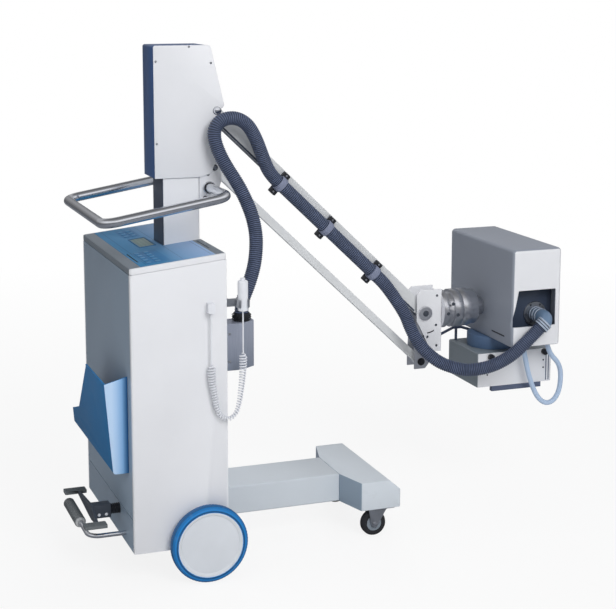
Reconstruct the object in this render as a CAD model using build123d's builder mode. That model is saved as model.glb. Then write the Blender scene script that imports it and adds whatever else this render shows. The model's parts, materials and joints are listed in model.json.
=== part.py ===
from build123d import *
import os
from math import atan2, cos, hypot, pi, radians, sin, tan

os.makedirs("parts", exist_ok=True)

# A mobile x-ray machine: a two-wheeled cabinet on a long castered foot, a short mast, and a
# parallelogram arm that carries the x-ray tube head. +X is forward (the way the arm reaches),
# +Y is the machine's left and +Z is up. The origin is on the floor, under the middle of the
# machine's bounding box.

# Cabinet
cabinet_depth = 246.0  # front to rear
cabinet_half = 272.0  # half of the width over the side panels
cabinet_bottom = 85.0  # clearance under the floor tray
deck_rear_z = 811.0  # top of the deck at the rear edge
deck_front_z = 837.0  # top of the deck at the front edge
deck_thickness = 16.0
panel = 3.0  # sheet thickness of the panels
flange = 12.0  # each side panel turns round the rear corner by this much
seam_z = 171.0  # joint between the upper and the lower rear panel
seam_gap = 2.0

# Reach of the whole machine, which places the origin
pedal_reach = 112.0  # how far the brake pads stand behind the cabinet
arm_span_x = 610.0  # horizontal distance between the arm's two pivots at rest
arm_drop = 585.0  # vertical distance between them at rest
pivot_ahead = 44.0  # main arm pivot, forward of the cabinet's front
arm_pivot_x = cabinet_depth + pivot_ahead  # from the cabinet's rear face
arm_pivot_z = 1168.0
head_pivot_reach = 370.0  # from the arm's end pivot to the front of the collimator
front_reach = arm_pivot_x + arm_span_x + head_pivot_reach
rear_x = (pedal_reach - front_reach) / 2  # the cabinet's rear face
front_x = rear_x + cabinet_depth

# Rear wheels
wheel_radius = 100.0
wheel_width = 32.0
wheel_outer_y = cabinet_half + 41.0  # outer face of the tyre
wheel_x = rear_x + 187.0
tyre_depth = 17.0  # radial thickness of the tyre
axle_radius = 8.0
cap_recess = 3.0  # the hub cap lies this far inside the tyre's face
cap_wall = 6.0
running_gap = 0.05  # radial clearance of every turning fit

# Foot: beam and crossbar
beam_half = 79.0
beam_top = 162.0
beam_bottom = 83.5
beam_wall = 4.0
beam_fit = 0.3  # clearance to the cabinet's notch, all round
cross_half = 177.0
cross_inner_x = rear_x + 625.0  # where the beam meets the crossbar
cross_end_x = rear_x + 652.0  # rear edge of the crossbar at its ends
cross_top_x = rear_x + 734.0  # front edge of the top face
cross_front_x = rear_x + 767.0  # front face
cross_bevel_z = 133.0

# Casters
caster_x = rear_x + 716.0  # swivel axis
caster_y = 140.0
caster_radius = 35.0
caster_width = 24.0
caster_trail = 16.0
caster_plate = 3.5
caster_plate_length = 76.0
caster_plate_width = 62.0
race_radius = 24.0
race_height = 5.0
fork_sheet = 2.5

# Mast
mast_rear = rear_x + 143.5
mast_front = front_x - panel - 0.5
mast_half = 51.0
mast_wall = 4.0
mast_top = arm_pivot_z + 150.0
cover_half = 56.0
cover_rear = mast_rear - 20.5
cover_wall = 2.5
cover_bend = 6.0  # the wrap's bend over the rear top edge
cover_top = arm_pivot_z + 172.0
cover_bottom = arm_pivot_z - 168.0
cover_top_front = rear_x + arm_pivot_x - 16.0
cover_nose_x = rear_x + arm_pivot_x + 21.0
cover_nose_z = arm_pivot_z + 14.0
cover_throat_x = rear_x + arm_pivot_x - 6.0

# Arm
pivot_x = rear_x + arm_pivot_x
pivot_z = arm_pivot_z
link_dx = -8.0  # from an upper pivot to the lower one of the same link
link_dz = -140.0
bar_height = 35.0
bar_half = 20.0
bar_wall = 3.0
rod_height = 21.0
rod_half = 11.0
pin_radius = 8.0
open_pivot_gap = 0.4  # radial clearance at the lower bar's far end
cheek_inner = 22.0
cheek_wall = 5.0
head_x = pivot_x + arm_span_x
head_z = pivot_z - arm_drop
arm_length = hypot(arm_span_x, arm_drop)
arm_plane = Plane(
    origin=(pivot_x, 0, pivot_z),
    x_dir=(arm_span_x, 0, -arm_drop),
    z_dir=(0, -1, 0),
)
rod_plane = Plane(
    origin=(pivot_x + link_dx, 0, pivot_z + link_dz),
    x_dir=(arm_span_x, 0, -arm_drop),
    z_dir=(0, -1, 0),
)

# Swivel between the arm and the head
tilt_plate_inner = 28.0
tilt_plate_wall = 4.0
tilt_front = head_x + 51.0
tilt_top = head_z + 66.0
tilt_bottom = head_z - 112.0
roll_radius = 54.0
roll_z = head_z + 3.0
roll_start = tilt_front
roll_break = head_x + 111.0  # the plane between the fixed and the turning half
roll_gap = 0.5
roll_end = head_x + 160.0

# Tube head
head_rear = head_x + 187.0
head_front = head_x + 336.0
head_half = 199.0
head_bottom = 505.0
head_top = 778.0
head_wall = 5.0
window_x0 = head_x + 196.0
window_x1 = head_x + 318.0
window_z0 = 562.0
window_z1 = 664.0
window_depth = 42.0

# Collimator
coll_rear = head_x + 135.0
coll_front = head_x + head_pivot_reach
coll_half = 95.0
coll_bottom = 371.0
coll_top = 469.0
coll_mid = (coll_rear + coll_front) / 2
rail_height = 15.0
rail_length = 156.0
rail_forward = 7.0  # the rails' middle lies this far in front of the collimator's
port_half = 62.0

# Hoses and cables
hose_radius = 18.0
cable_radius = 7.0
cable_reach = 380.0  # from the arm's end pivot to the front run of the head's cable
coil_radius = 9.0
lead_radius = 3.0


# Cabinet

sheet_bend = 5.0  # outer radius of the side panels' rear bend
under_deck_slope = (deck_front_z - deck_rear_z) / cabinet_depth
with BuildPart() as cabinet_sides:
    with BuildSketch(Plane.XY.offset(cabinet_bottom)) as bent_sheet:
        with BuildLine():
            Polyline(
                (rear_x, -cabinet_half + flange),
                (rear_x, -cabinet_half),
                (front_x, -cabinet_half),
                (front_x, -cabinet_half + panel),
                (rear_x + panel, -cabinet_half + panel),
                (rear_x + panel, -cabinet_half + flange),
                close=True,
            )
        make_face()
        fillet(bent_sheet.vertices().group_by(Axis.Y)[0].sort_by(Axis.X)[0], sheet_bend)
    extrude(amount=deck_front_z - cabinet_bottom)
    with BuildSketch(Plane.XZ.offset(cabinet_half - 2 * flange)):
        with BuildLine():
            Polyline(
                (rear_x - 10, deck_rear_z - deck_thickness - 10 * under_deck_slope),
                (front_x + 10, deck_front_z - deck_thickness + 10 * under_deck_slope),
                (front_x + 10, deck_front_z + 50),
                (rear_x - 10, deck_front_z + 50),
                close=True,
            )
        make_face()
        with Locations((wheel_x, wheel_radius)):
            Circle(axle_radius + 1)
    extrude(amount=3 * flange, mode=Mode.SUBTRACT)
    fillet(cabinet_sides.edges().filter_by(Axis.Y).group_by(Axis.Z)[0].sort_by(Axis.X)[-1:], 6)
    mirror(about=Plane.XZ)
cabinet_sides.part.label = "cabinet_sides"

inner_half = cabinet_half - panel
rear_width = 2 * (cabinet_half - flange)
deck_rise = deck_front_z - deck_rear_z
front_panel_top = deck_front_z - deck_thickness - deck_rise * panel / cabinet_depth
with BuildPart() as cabinet_rear_upper:
    with BuildSketch(Plane.YZ.offset(rear_x)):
        with Locations((0, (deck_rear_z - deck_thickness + seam_z + seam_gap / 2) / 2)):
            Rectangle(rear_width, deck_rear_z - deck_thickness - seam_z - seam_gap / 2)
    extrude(amount=panel)
cabinet_rear_upper.part.label = "cabinet_rear_upper"

with BuildPart() as cabinet_rear_lower:
    with BuildSketch(Plane.YZ.offset(rear_x)):
        with Locations((0, (cabinet_bottom + seam_z - seam_gap / 2) / 2)):
            Rectangle(rear_width, seam_z - seam_gap / 2 - cabinet_bottom)
    extrude(amount=panel)
cabinet_rear_lower.part.label = "cabinet_rear_lower"

with BuildPart() as cabinet_front:
    with BuildSketch(Plane.YZ.offset(front_x - panel)):
        with BuildLine():
            Polyline(
                (-inner_half, cabinet_bottom),
                (-inner_half, front_panel_top),
                (inner_half, front_panel_top),
                (inner_half, cabinet_bottom),
                (beam_half, cabinet_bottom),
                (beam_half, beam_top),
                (-beam_half, beam_top),
                (-beam_half, cabinet_bottom),
                close=True,
            )
        make_face()
    extrude(amount=panel)
cabinet_front.part.label = "cabinet_front"

tray_lip = 30.0
unit_height = 240.0  # generator and batteries, low in the cabinet
saddle_z = wheel_radius + axle_radius + 8  # the mast stands on the chassis at this height
with BuildPart() as chassis:
    with BuildSketch(Plane.XY.offset(cabinet_bottom)):
        with Locations((rear_x + cabinet_depth / 2, 0)):
            Rectangle(cabinet_depth - 2 * panel, 2 * inner_half)
    extrude(amount=panel)
    with BuildSketch(Plane.XZ.offset(inner_half - 14)):
        with Locations((wheel_x, cabinet_bottom + panel + tray_lip)):
            Rectangle(70, 2 * tray_lip, align=(Align.CENTER, Align.CENTER))
        with Locations((wheel_x, wheel_radius)):
            Circle(axle_radius, mode=Mode.SUBTRACT)
    extrude(amount=12)
    mirror(about=Plane.XZ)
    for side in (-1, 1):
        with BuildSketch(Plane.XZ.offset(side * (mast_half - 8) + 4)):
            with Locations(((mast_rear + mast_front) / 2, (cabinet_bottom + saddle_z) / 2)):
                Rectangle(mast_front - mast_rear, saddle_z - cabinet_bottom)
            with Locations((wheel_x, wheel_radius)):
                Circle(axle_radius, mode=Mode.SUBTRACT)
        extrude(amount=-8)
chassis.part.label = "chassis"

axle_end = wheel_outer_y - cap_recess - cap_wall - 1
with BuildPart() as rear_axle:
    with BuildSketch(Plane.XZ.offset(-axle_end)):
        with Locations((wheel_x, wheel_radius)):
            Circle(axle_radius)
    extrude(amount=2 * axle_end)
rear_axle.part.label = "rear_axle"

with BuildPart() as power_unit:
    with BuildSketch(Plane.XY.offset(cabinet_bottom + panel)):
        with Locations(((rear_x + panel + mast_rear) / 2, 0)):
            Rectangle(mast_rear - rear_x - panel - 16, 2 * inner_half - 60)
    extrude(amount=unit_height)
power_unit.part.label = "power_unit"

# Deck and control panel

deck_slope = atan2(deck_front_z - deck_rear_z, cabinet_depth)
deck_plane = Plane(
    origin=(rear_x, 0, deck_rear_z),
    x_dir=(cos(deck_slope), 0, sin(deck_slope)),
    z_dir=(-sin(deck_slope), 0, cos(deck_slope)),
)
overlay_thickness = 1.2
overlay_rear = 30.0
overlay_front = 222.0
overlay_half = cabinet_half - 8
groove_width = 4.0
groove_length = 118.0
groove_y = -145.0  # middle of the groove in the overlay
vent_x = 230.0  # the groove in front of the overlay
vent_y = -122.0
display_x = 107.0
display_y = 28.0
display_depth = 40.0
display_width = 122.0
mast_gap = 1.0

with BuildPart() as top_deck:
    with BuildSketch(Plane.XZ.offset(-cabinet_half)):
        with BuildLine():
            Polyline(
                (rear_x, deck_rear_z - deck_thickness),
                (rear_x, deck_rear_z),
                (front_x, deck_front_z),
                (front_x, deck_front_z - deck_thickness),
                close=True,
            )
        make_face()
    extrude(amount=2 * cabinet_half)
    fillet(top_deck.edges().filter_by(Axis.Z), 8)
    fillet(top_deck.faces().sort_by(Axis.Z)[-1].edges(), 3)
    with BuildSketch(Plane.XY.offset(deck_rear_z - 2 * deck_thickness)):
        with Locations(((mast_rear + front_x + 20) / 2 - mast_gap / 2, 0)):
            Rectangle(front_x + 20 - mast_rear + mast_gap, 2 * (mast_half + mast_gap))
    extrude(amount=5 * deck_thickness, mode=Mode.SUBTRACT)
    with BuildSketch(deck_plane.offset(-overlay_thickness)):
        with Locations(((overlay_rear + overlay_front) / 2, 0)):
            Rectangle(overlay_front - overlay_rear, 2 * overlay_half)
    extrude(amount=10, mode=Mode.SUBTRACT)
    with BuildSketch(deck_plane.offset(-4)):
        with Locations((overlay_rear + 8, groove_y), (vent_x, vent_y)):
            Rectangle(groove_width, groove_length)
    extrude(amount=10, mode=Mode.SUBTRACT)
top_deck.part.label = "top_deck"

with BuildPart() as control_panel:
    with BuildSketch(deck_plane.offset(-overlay_thickness)):
        with Locations(((overlay_rear + overlay_front) / 2, 0)):
            Rectangle(overlay_front - overlay_rear, 2 * overlay_half)
        with Locations((display_x, display_y)):
            Rectangle(display_depth, display_width, mode=Mode.SUBTRACT)
        with Locations((overlay_rear + 8, groove_y)):
            Rectangle(groove_width, groove_length, mode=Mode.SUBTRACT)
        with Locations(((mast_rear - rear_x - mast_gap + overlay_front + 20) / 2, 0)):
            Rectangle(
                overlay_front + 20 - mast_rear + rear_x + mast_gap,
                2 * (mast_half + mast_gap),
                mode=Mode.SUBTRACT,
            )
    extrude(amount=overlay_thickness)
control_panel.part.label = "control_panel"

with BuildPart() as display:
    with BuildSketch(deck_plane.offset(-overlay_thickness)):
        with Locations((display_x, display_y)):
            Rectangle(display_depth, display_width)
    extrude(amount=overlay_thickness)
display.part.label = "display"

# Mast, cover and arm mounting

with BuildPart() as mast:
    with BuildSketch(Plane.XY.offset(saddle_z)):
        with Locations(((mast_rear + mast_front) / 2, 0)):
            RectangleRounded(mast_front - mast_rear, 2 * mast_half, 6)
            RectangleRounded(
                mast_front - mast_rear - 2 * mast_wall,
                2 * (mast_half - mast_wall),
                3,
                mode=Mode.SUBTRACT,
            )
    extrude(amount=mast_top - saddle_z)
mast.part.label = "mast"

cheek_drop = 243.0  # how far the side plates reach under the pivot
cheek_rise = 27.0
cheek_bottom = arm_pivot_z - cheek_drop
cheek_top = arm_pivot_z + cheek_rise
cheek_outer = mast_half + 1.5
lower_x = pivot_x + link_dx
lower_z = pivot_z + link_dz
with BuildPart() as mast_head:
    with BuildSketch(Plane.XZ.offset(cheek_outer - 6)):
        with BuildLine():
            Polyline(
                (mast_front, cheek_bottom + 12),
                (mast_front, cheek_top),
                (pivot_x - 6, cheek_top),
                (pivot_x + 12, cheek_top - 18),
                (pivot_x + 12, lower_z - 40),
                (pivot_x - 10, cheek_bottom),
                (mast_front + 8, cheek_bottom),
                close=True,
            )
        make_face()
    extrude(amount=6)
    mirror(about=Plane.XZ)
    with BuildSketch(Plane.XZ.offset(bar_half + 1)):
        with Locations((pivot_x, pivot_z)):
            Circle(pin_radius + 4)
    extrude(amount=cheek_outer - 6 - bar_half - 1)
    with BuildSketch(Plane.XZ.offset(rod_half + 1)):
        with Locations((lower_x, lower_z)):
            Circle(pin_radius + 4)
    extrude(amount=cheek_outer - 6 - rod_half - 1)
    mirror(about=Plane.XZ)
    with BuildSketch(Plane.YZ.offset(mast_front)):
        with Locations((0, (cheek_bottom + 12 + cheek_top) / 2)):
            Rectangle(2 * cheek_outer, cheek_top - cheek_bottom - 12)
    extrude(amount=4)
    with BuildSketch(Plane.XZ.offset(-cheek_outer)):
        with Locations((pivot_x, pivot_z), (lower_x, lower_z)):
            Circle(pin_radius)
    extrude(amount=2 * cheek_outer)
mast_head.part.label = "mast_head"

cover_profile = [
    (cover_rear, cover_bottom),
    (cover_rear, cover_top),
    (cover_top_front, cover_top),
    (cover_nose_x, cover_nose_z),
    (cover_nose_x - 20, cover_nose_z - 14),
    (cover_throat_x, cover_bottom + 34),
    (cover_throat_x - 10, cover_bottom + 10),
    (cover_throat_x - 34, cover_bottom),
]
with BuildPart() as cover_sides:
    with BuildSketch(Plane.XZ.offset(cover_half - cover_wall)):
        with BuildLine():
            Polyline(*cover_profile, close=True)
        make_face()
    extrude(amount=cover_wall)
    fillet(cover_sides.edges().filter_by(Axis.Y).sort_by(Axis.X)[-1:], 8)
    fillet(cover_sides.edges().filter_by(Axis.Y).group_by(Axis.Z)[-1].sort_by(Axis.X)[-1:], 10)
    fillet(cover_sides.edges().filter_by(Axis.Y).group_by(Axis.Z)[-1].sort_by(Axis.X)[0:1], cover_bend)
    mirror(about=Plane.XZ)
cover_sides.part.label = "cover_sides"

with BuildPart() as cover_wrap:
    with BuildSketch(Plane.XZ.offset(-(cover_half - cover_wall))):
        with BuildLine():
            Polyline(
                (cover_rear, cover_bottom),
                (cover_rear, cover_top),
                (cover_top_front - 12, cover_top),
                (cover_top_front - 12, cover_top - cover_wall),
                (cover_rear + cover_wall, cover_top - cover_wall),
                (cover_rear + cover_wall, cover_bottom),
                close=True,
            )
        make_face()
    extrude(amount=2 * (cover_half - cover_wall))
    fillet(cover_wrap.edges().filter_by(Axis.Y).group_by(Axis.Z)[-1].sort_by(Axis.X)[0:1], cover_bend)
    with BuildSketch(Plane.XY.offset(cover_bottom)):
        with Locations(((cover_rear + cover_wall + mast_rear) / 2, 0)):
            Rectangle(mast_rear - cover_rear - cover_wall, 2 * (cover_half - cover_wall))
    extrude(amount=cover_wall)
cover_wrap.part.label = "cover_wrap"

# Handle

handle_radius = 12.5
handle_half = 231.0
handle_front = pivot_x - 14.0
handle_rear = rear_x - 52.0
handle_front_z = arm_pivot_z - 197.0
handle_rear_z = handle_front_z - 54.0
flange_radius = 17.0
flange_thickness = 6.0
handle_bend = 38.0
handle_end_x = pivot_x - 22.0
handle_end_y = cheek_outer
with BuildPart() as handle:
    with BuildLine() as handle_path:
        FilletPolyline(
            (handle_end_x, -handle_end_y, handle_front_z),
            (handle_end_x, -handle_half, handle_front_z),
            (handle_rear, -handle_half, handle_rear_z),
            (handle_rear, handle_half, handle_rear_z),
            (handle_end_x, handle_half, handle_front_z),
            (handle_end_x, handle_end_y, handle_front_z),
            radius=handle_bend,
        )
    with BuildSketch(handle_path.line ^ 0):
        Circle(handle_radius)
    sweep()
handle.part.label = "handle"

with BuildPart() as handle_flanges:
    with BuildSketch(Plane.XZ.offset(cheek_outer)):
        with Locations((handle_end_x, handle_front_z)):
            Circle(flange_radius)
            Circle(handle_radius, mode=Mode.SUBTRACT)
    extrude(amount=flange_thickness)
    mirror(about=Plane.XZ)
handle_flanges.part.label = "handle_flanges"

# Cassette box on the rear

box_near = -(cabinet_half - 45.0)  # outer faces of the two end walls
box_far = cabinet_half - 20.0
box_bottom = 284.0
box_top = 533.0  # top of the near end at the cabinet's face
lip_top = 517.0  # top of the outer wall
box_depth_top = 59.0
box_depth_bottom = 40.0
box_wall = 4.0
cut_start_y = -8.0  # the outer wall is cut away from here to the low far end
cut_end_y = 153.0
cut_end_z = 359.0
low_top = 329.0
with BuildPart() as cassette_box:
    with BuildSketch(Plane.XZ.offset(-box_far)):
        with BuildLine():
            Polyline(
                (rear_x, box_bottom),
                (rear_x, box_top),
                (rear_x - box_depth_top, lip_top),
                (rear_x - box_depth_bottom, box_bottom),
                close=True,
            )
        make_face()
    extrude(amount=box_far - box_near)
    fillet(cassette_box.edges().filter_by(Axis.Y).group_by(Axis.Z)[0].sort_by(Axis.X)[0:1], 8)
    with BuildSketch(Plane.XZ.offset(-(box_far - box_wall))):
        with BuildLine():
            Polyline(
                (rear_x + 1, box_bottom + box_wall),
                (rear_x + 1, box_top + 20),
                (rear_x - box_depth_top + box_wall, box_top + 20),
                (rear_x - box_depth_top + box_wall, lip_top),
                (rear_x - box_depth_bottom + box_wall, box_bottom + box_wall),
                close=True,
            )
        make_face()
    extrude(amount=box_far - box_near - 2 * box_wall, mode=Mode.SUBTRACT)
    with BuildSketch(Plane.YZ.offset(rear_x - box_depth_top - 10)):
        with BuildLine():
            Polyline(
                (cut_start_y, box_top + 30),
                (cut_start_y, lip_top - 5),
                (cut_end_y, cut_end_z),
                (box_far - 4, low_top),
                (box_far + 10, low_top),
                (box_far + 10, box_top + 30),
                close=True,
            )
        make_face()
    extrude(amount=box_depth_top + 20, mode=Mode.SUBTRACT)
cassette_box.part.label = "cassette_box"

# Foot

beam_width = 2 * (beam_half - beam_fit)
beam_height = beam_top - beam_bottom - 2 * beam_fit
with BuildPart() as base_beam:
    with BuildSketch(Plane.YZ.offset(front_x - panel)):
        with Locations((0, (beam_top + beam_bottom) / 2)):
            RectangleRounded(beam_width, beam_height, 5)
            RectangleRounded(beam_width - 2 * beam_wall, beam_height - 2 * beam_wall, 2, mode=Mode.SUBTRACT)
    extrude(amount=cross_inner_x - front_x + panel)
base_beam.part.label = "base_beam"

pocket_x0 = cross_inner_x + 15
pocket_x1 = cross_front_x - 10
pocket_half = 102.0  # between the two caster plates
pocket_depth = 40.0
with BuildPart() as base_crossbar:
    with BuildSketch(Plane.XY.offset(beam_bottom)):
        with BuildLine():
            Polyline(
                (cross_inner_x, -beam_half),
                (cross_end_x, -cross_half),
                (cross_front_x, -cross_half),
                (cross_front_x, cross_half),
                (cross_end_x, cross_half),
                (cross_inner_x, beam_half),
                close=True,
            )
        make_face()
    extrude(amount=beam_top - beam_bottom)
    front_top = base_crossbar.edges().filter_by(Axis.Y).group_by(Axis.Z)[-1].sort_by(Axis.X)[-1]
    chamfer(
        front_top,
        length=cross_front_x - cross_top_x,
        length2=beam_top - cross_bevel_z,
        reference=base_crossbar.faces().sort_by(Axis.Z)[-1],
    )
    fillet(base_crossbar.edges().filter_by(Axis.Z), 5)
    with BuildSketch(Plane.XY.offset(beam_bottom)):
        with Locations(((pocket_x0 + pocket_x1) / 2, 0)):
            RectangleRounded(pocket_x1 - pocket_x0, 2 * pocket_half, 8)
    extrude(amount=pocket_depth, mode=Mode.SUBTRACT)
base_crossbar.part.label = "base_crossbar"

# Casters

crown_z = beam_bottom - caster_plate - race_height
with BuildPart() as caster_plates:
    with BuildSketch(Plane.XY.offset(beam_bottom)):
        with Locations((caster_x, -caster_y)):
            RectangleRounded(caster_plate_length, caster_plate_width, 5)
    extrude(amount=-caster_plate)
    with BuildSketch(Plane.XY.offset(beam_bottom - caster_plate)):
        with Locations((caster_x, -caster_y)):
            Circle(race_radius)
    extrude(amount=-(race_height - 0.5))
    mirror(about=Plane.XZ)
caster_plates.part.label = "caster_plates"

wheel_cx = caster_x - caster_trail
fork_inner = caster_width / 2 + 2
with BuildPart() as fork_right:
    with BuildSketch(Plane.XY.offset(crown_z)):
        with Locations((caster_x, -caster_y)):
            Circle(race_radius)
        with Locations((caster_x - caster_trail / 2, -caster_y)):
            Rectangle(caster_trail + 22, 2 * (fork_inner + fork_sheet))
    extrude(amount=-fork_sheet)
    for leg_y in (caster_y + fork_inner, caster_y - fork_inner - fork_sheet):
        with BuildSketch(Plane.XZ.offset(leg_y)):
            with BuildLine():
                Polyline(
                    (caster_x + 18, crown_z),
                    (caster_x - caster_trail - 18, crown_z),
                    (wheel_cx - 11, caster_radius),
                    (wheel_cx - 6, caster_radius - 10),
                    (wheel_cx + 6, caster_radius - 10),
                    (wheel_cx + 11, caster_radius),
                    close=True,
                )
            make_face()
        extrude(amount=fork_sheet)
    with BuildSketch(Plane.XZ.offset(caster_y - fork_inner - fork_sheet)):
        with Locations((wheel_cx, caster_radius)):
            Circle(4)
    extrude(amount=2 * (fork_inner + fork_sheet))
caster_fork_right = fork_right.part
caster_fork_right.label = "caster_fork_right"
caster_fork_left = mirror(caster_fork_right, about=Plane.XZ)
caster_fork_left.label = "caster_fork_left"

with BuildPart() as small_wheel:
    with BuildSketch(Plane.XZ.offset(caster_y - caster_width / 2)):
        with Locations((wheel_cx, caster_radius)):
            Circle(caster_radius)
            Circle(4 + running_gap, mode=Mode.SUBTRACT)
    extrude(amount=caster_width)
    fillet(small_wheel.edges().filter_by(GeomType.CIRCLE).group_by(SortBy.RADIUS)[-1], 4)
caster_wheel_right = small_wheel.part
caster_wheel_right.label = "caster_wheel_right"
caster_wheel_left = mirror(caster_wheel_right, about=Plane.XZ)
caster_wheel_left.label = "caster_wheel_left"

# Rear wheels

rim_radius = wheel_radius - tyre_depth
wheel_inner_y = wheel_outer_y - wheel_width
with BuildPart() as tyre:
    with BuildSketch(Plane.XZ.offset(wheel_inner_y)):
        with Locations((wheel_x, wheel_radius)):
            Circle(wheel_radius)
            Circle(rim_radius, mode=Mode.SUBTRACT)
    extrude(amount=wheel_width)
    fillet(tyre.edges().filter_by(GeomType.CIRCLE).group_by(SortBy.RADIUS)[-1], 6)
rear_tyre_right = tyre.part
rear_tyre_right.label = "rear_tyre_right"
rear_tyre_left = mirror(rear_tyre_right, about=Plane.XZ)
rear_tyre_left.label = "rear_tyre_left"

with BuildPart() as wheel_hub:
    with BuildSketch(Plane.XZ.offset(wheel_inner_y)):
        with Locations((wheel_x, wheel_radius)):
            Circle(rim_radius)
            Circle(axle_radius + running_gap, mode=Mode.SUBTRACT)
    extrude(amount=wheel_width - 1)
    with BuildSketch(Plane.XZ.offset(wheel_outer_y)):
        with Locations((wheel_x, wheel_radius)):
            Circle(rim_radius - 9)
    extrude(amount=-cap_recess - cap_wall, mode=Mode.SUBTRACT)
    with BuildSketch(Plane.XZ.offset(wheel_outer_y - cap_recess)):
        with Locations((wheel_x, wheel_radius)):
            Circle(rim_radius - 9)
    extrude(amount=-cap_wall)
rear_hub_right = wheel_hub.part
rear_hub_right.label = "rear_hub_right"
rear_hub_left = mirror(rear_hub_right, about=Plane.XZ)
rear_hub_left.label = "rear_hub_left"

# Arm

with BuildPart() as upper_bar:
    with BuildSketch(arm_plane.offset(-bar_half)):
        with Locations((arm_length / 2, 0)):
            SlotCenterToCenter(arm_length, bar_height)
    extrude(amount=2 * bar_half)
    with BuildSketch(arm_plane.offset(-(bar_half - bar_wall))):
        with Locations((arm_length / 2, 0)):
            Rectangle(arm_length - 2 * bar_height, bar_height - 2 * bar_wall)
    extrude(amount=2 * (bar_half - bar_wall), mode=Mode.SUBTRACT)
    with BuildSketch(arm_plane.offset(-bar_half)):
        with Locations((0, 0), (arm_length, 0)):
            Circle(pin_radius + running_gap)
    extrude(amount=2 * bar_half, mode=Mode.SUBTRACT)
upper_bar.part.label = "upper_bar"

with BuildPart() as lower_bar:
    with BuildSketch(rod_plane.offset(-rod_half)):
        with Locations((arm_length / 2, 0)):
            SlotCenterToCenter(arm_length, rod_height)
        with Locations((0, 0), (arm_length, 0)):
            Circle(pin_radius + 4.5)
    extrude(amount=2 * rod_half)
    with BuildSketch(rod_plane.offset(-rod_half)):
        with Locations((0, 0)):
            Circle(pin_radius + running_gap)
        with Locations((arm_length, 0)):
            Circle(pin_radius + open_pivot_gap)
    extrude(amount=2 * rod_half, mode=Mode.SUBTRACT)
lower_bar.part.label = "lower_bar"

# Arm end link, which the lower bar keeps upright

end_lower_x = head_x + link_dx
end_lower_z = head_z + link_dz
with BuildPart() as end_link:
    with BuildSketch(Plane.XZ.offset(cheek_inner)):
        with BuildLine():
            Polyline(
                (head_x - 18, head_z + 18),
                (head_x + 16, head_z + 18),
                (head_x + 16, end_lower_z - 6),
                (head_x + 4, end_lower_z - 20),
                (end_lower_x - 20, end_lower_z - 20),
                (end_lower_x - 20, end_lower_z + 20),
                close=True,
            )
        make_face()
    extrude(amount=cheek_wall)
    mirror(about=Plane.XZ)
    with BuildSketch(Plane.XZ.offset(rod_half + 1)):
        with Locations((end_lower_x, end_lower_z)):
            Circle(pin_radius + 4)
    extrude(amount=cheek_inner - rod_half - 1)
    mirror(about=Plane.XZ)
    with BuildSketch(Plane.XZ.offset(-cheek_inner)):
        with Locations((head_x, head_z), (end_lower_x, end_lower_z)):
            Circle(pin_radius)
    extrude(amount=2 * cheek_inner)
end_link.part.label = "end_link"

# Tilting bracket and the fixed half of the swivel

with BuildPart() as tilt_bracket:
    with BuildSketch(Plane.XZ.offset(tilt_plate_inner)):
        with BuildLine():
            Polyline(
                (head_x - 25, head_z - 20),
                (head_x - 25, tilt_top - 10),
                (head_x - 15, tilt_top),
                (tilt_front, tilt_top),
                (tilt_front, tilt_bottom),
                (tilt_front - 30, tilt_bottom),
                close=True,
            )
        make_face()
    extrude(amount=tilt_plate_wall)
    mirror(about=Plane.XZ)
    with BuildSketch(Plane.YZ.offset(tilt_front - tilt_plate_wall)):
        with Locations((0, roll_z)):
            Rectangle(2 * (tilt_plate_inner + tilt_plate_wall), 2 * roll_radius)
    extrude(amount=tilt_plate_wall)
tilt_bracket.part.label = "tilt_bracket"

with BuildPart() as tilt_caps:
    with BuildSketch(Plane.XZ.offset(tilt_plate_inner + tilt_plate_wall)):
        with Locations((head_x, head_z)):
            Circle(20)
    extrude(amount=6)
    fillet(tilt_caps.faces().sort_by(Axis.Y)[0].edges(), 2)
    mirror(about=Plane.XZ)
tilt_caps.part.label = "tilt_caps"

with BuildPart() as roll_bearing:
    with BuildSketch(Plane.XZ):
        with BuildLine():
            Polyline(
                (roll_start, roll_z),
                (roll_start, roll_z + roll_radius),
                (roll_start + 16, roll_z + roll_radius),
                (roll_start + 16, roll_z + roll_radius - 8),
                (roll_start + 34, roll_z + roll_radius - 8),
                (roll_start + 34, roll_z + roll_radius),
                (roll_break, roll_z + roll_radius),
                (roll_break, roll_z),
                close=True,
            )
        make_face()
    revolve(axis=Axis((0, 0, roll_z), (1, 0, 0)))
roll_bearing.part.label = "roll_bearing"

# Turning half of the swivel

with BuildPart() as roll_hub:
    with BuildSketch(Plane.XZ):
        with BuildLine():
            Polyline(
                (roll_break + roll_gap, roll_z),
                (roll_break + roll_gap, roll_z + roll_radius),
                (roll_end - 22, roll_z + roll_radius),
                (roll_end - 22, roll_z + roll_radius - 4),
                (roll_end, roll_z + roll_radius - 4),
                (roll_end, roll_z + 24),
                (head_rear, roll_z + 24),
                (head_rear, roll_z),
                close=True,
            )
        make_face()
    revolve(axis=Axis((0, 0, roll_z), (1, 0, 0)))
roll_hub.part.label = "roll_hub"

# Tube head

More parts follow.
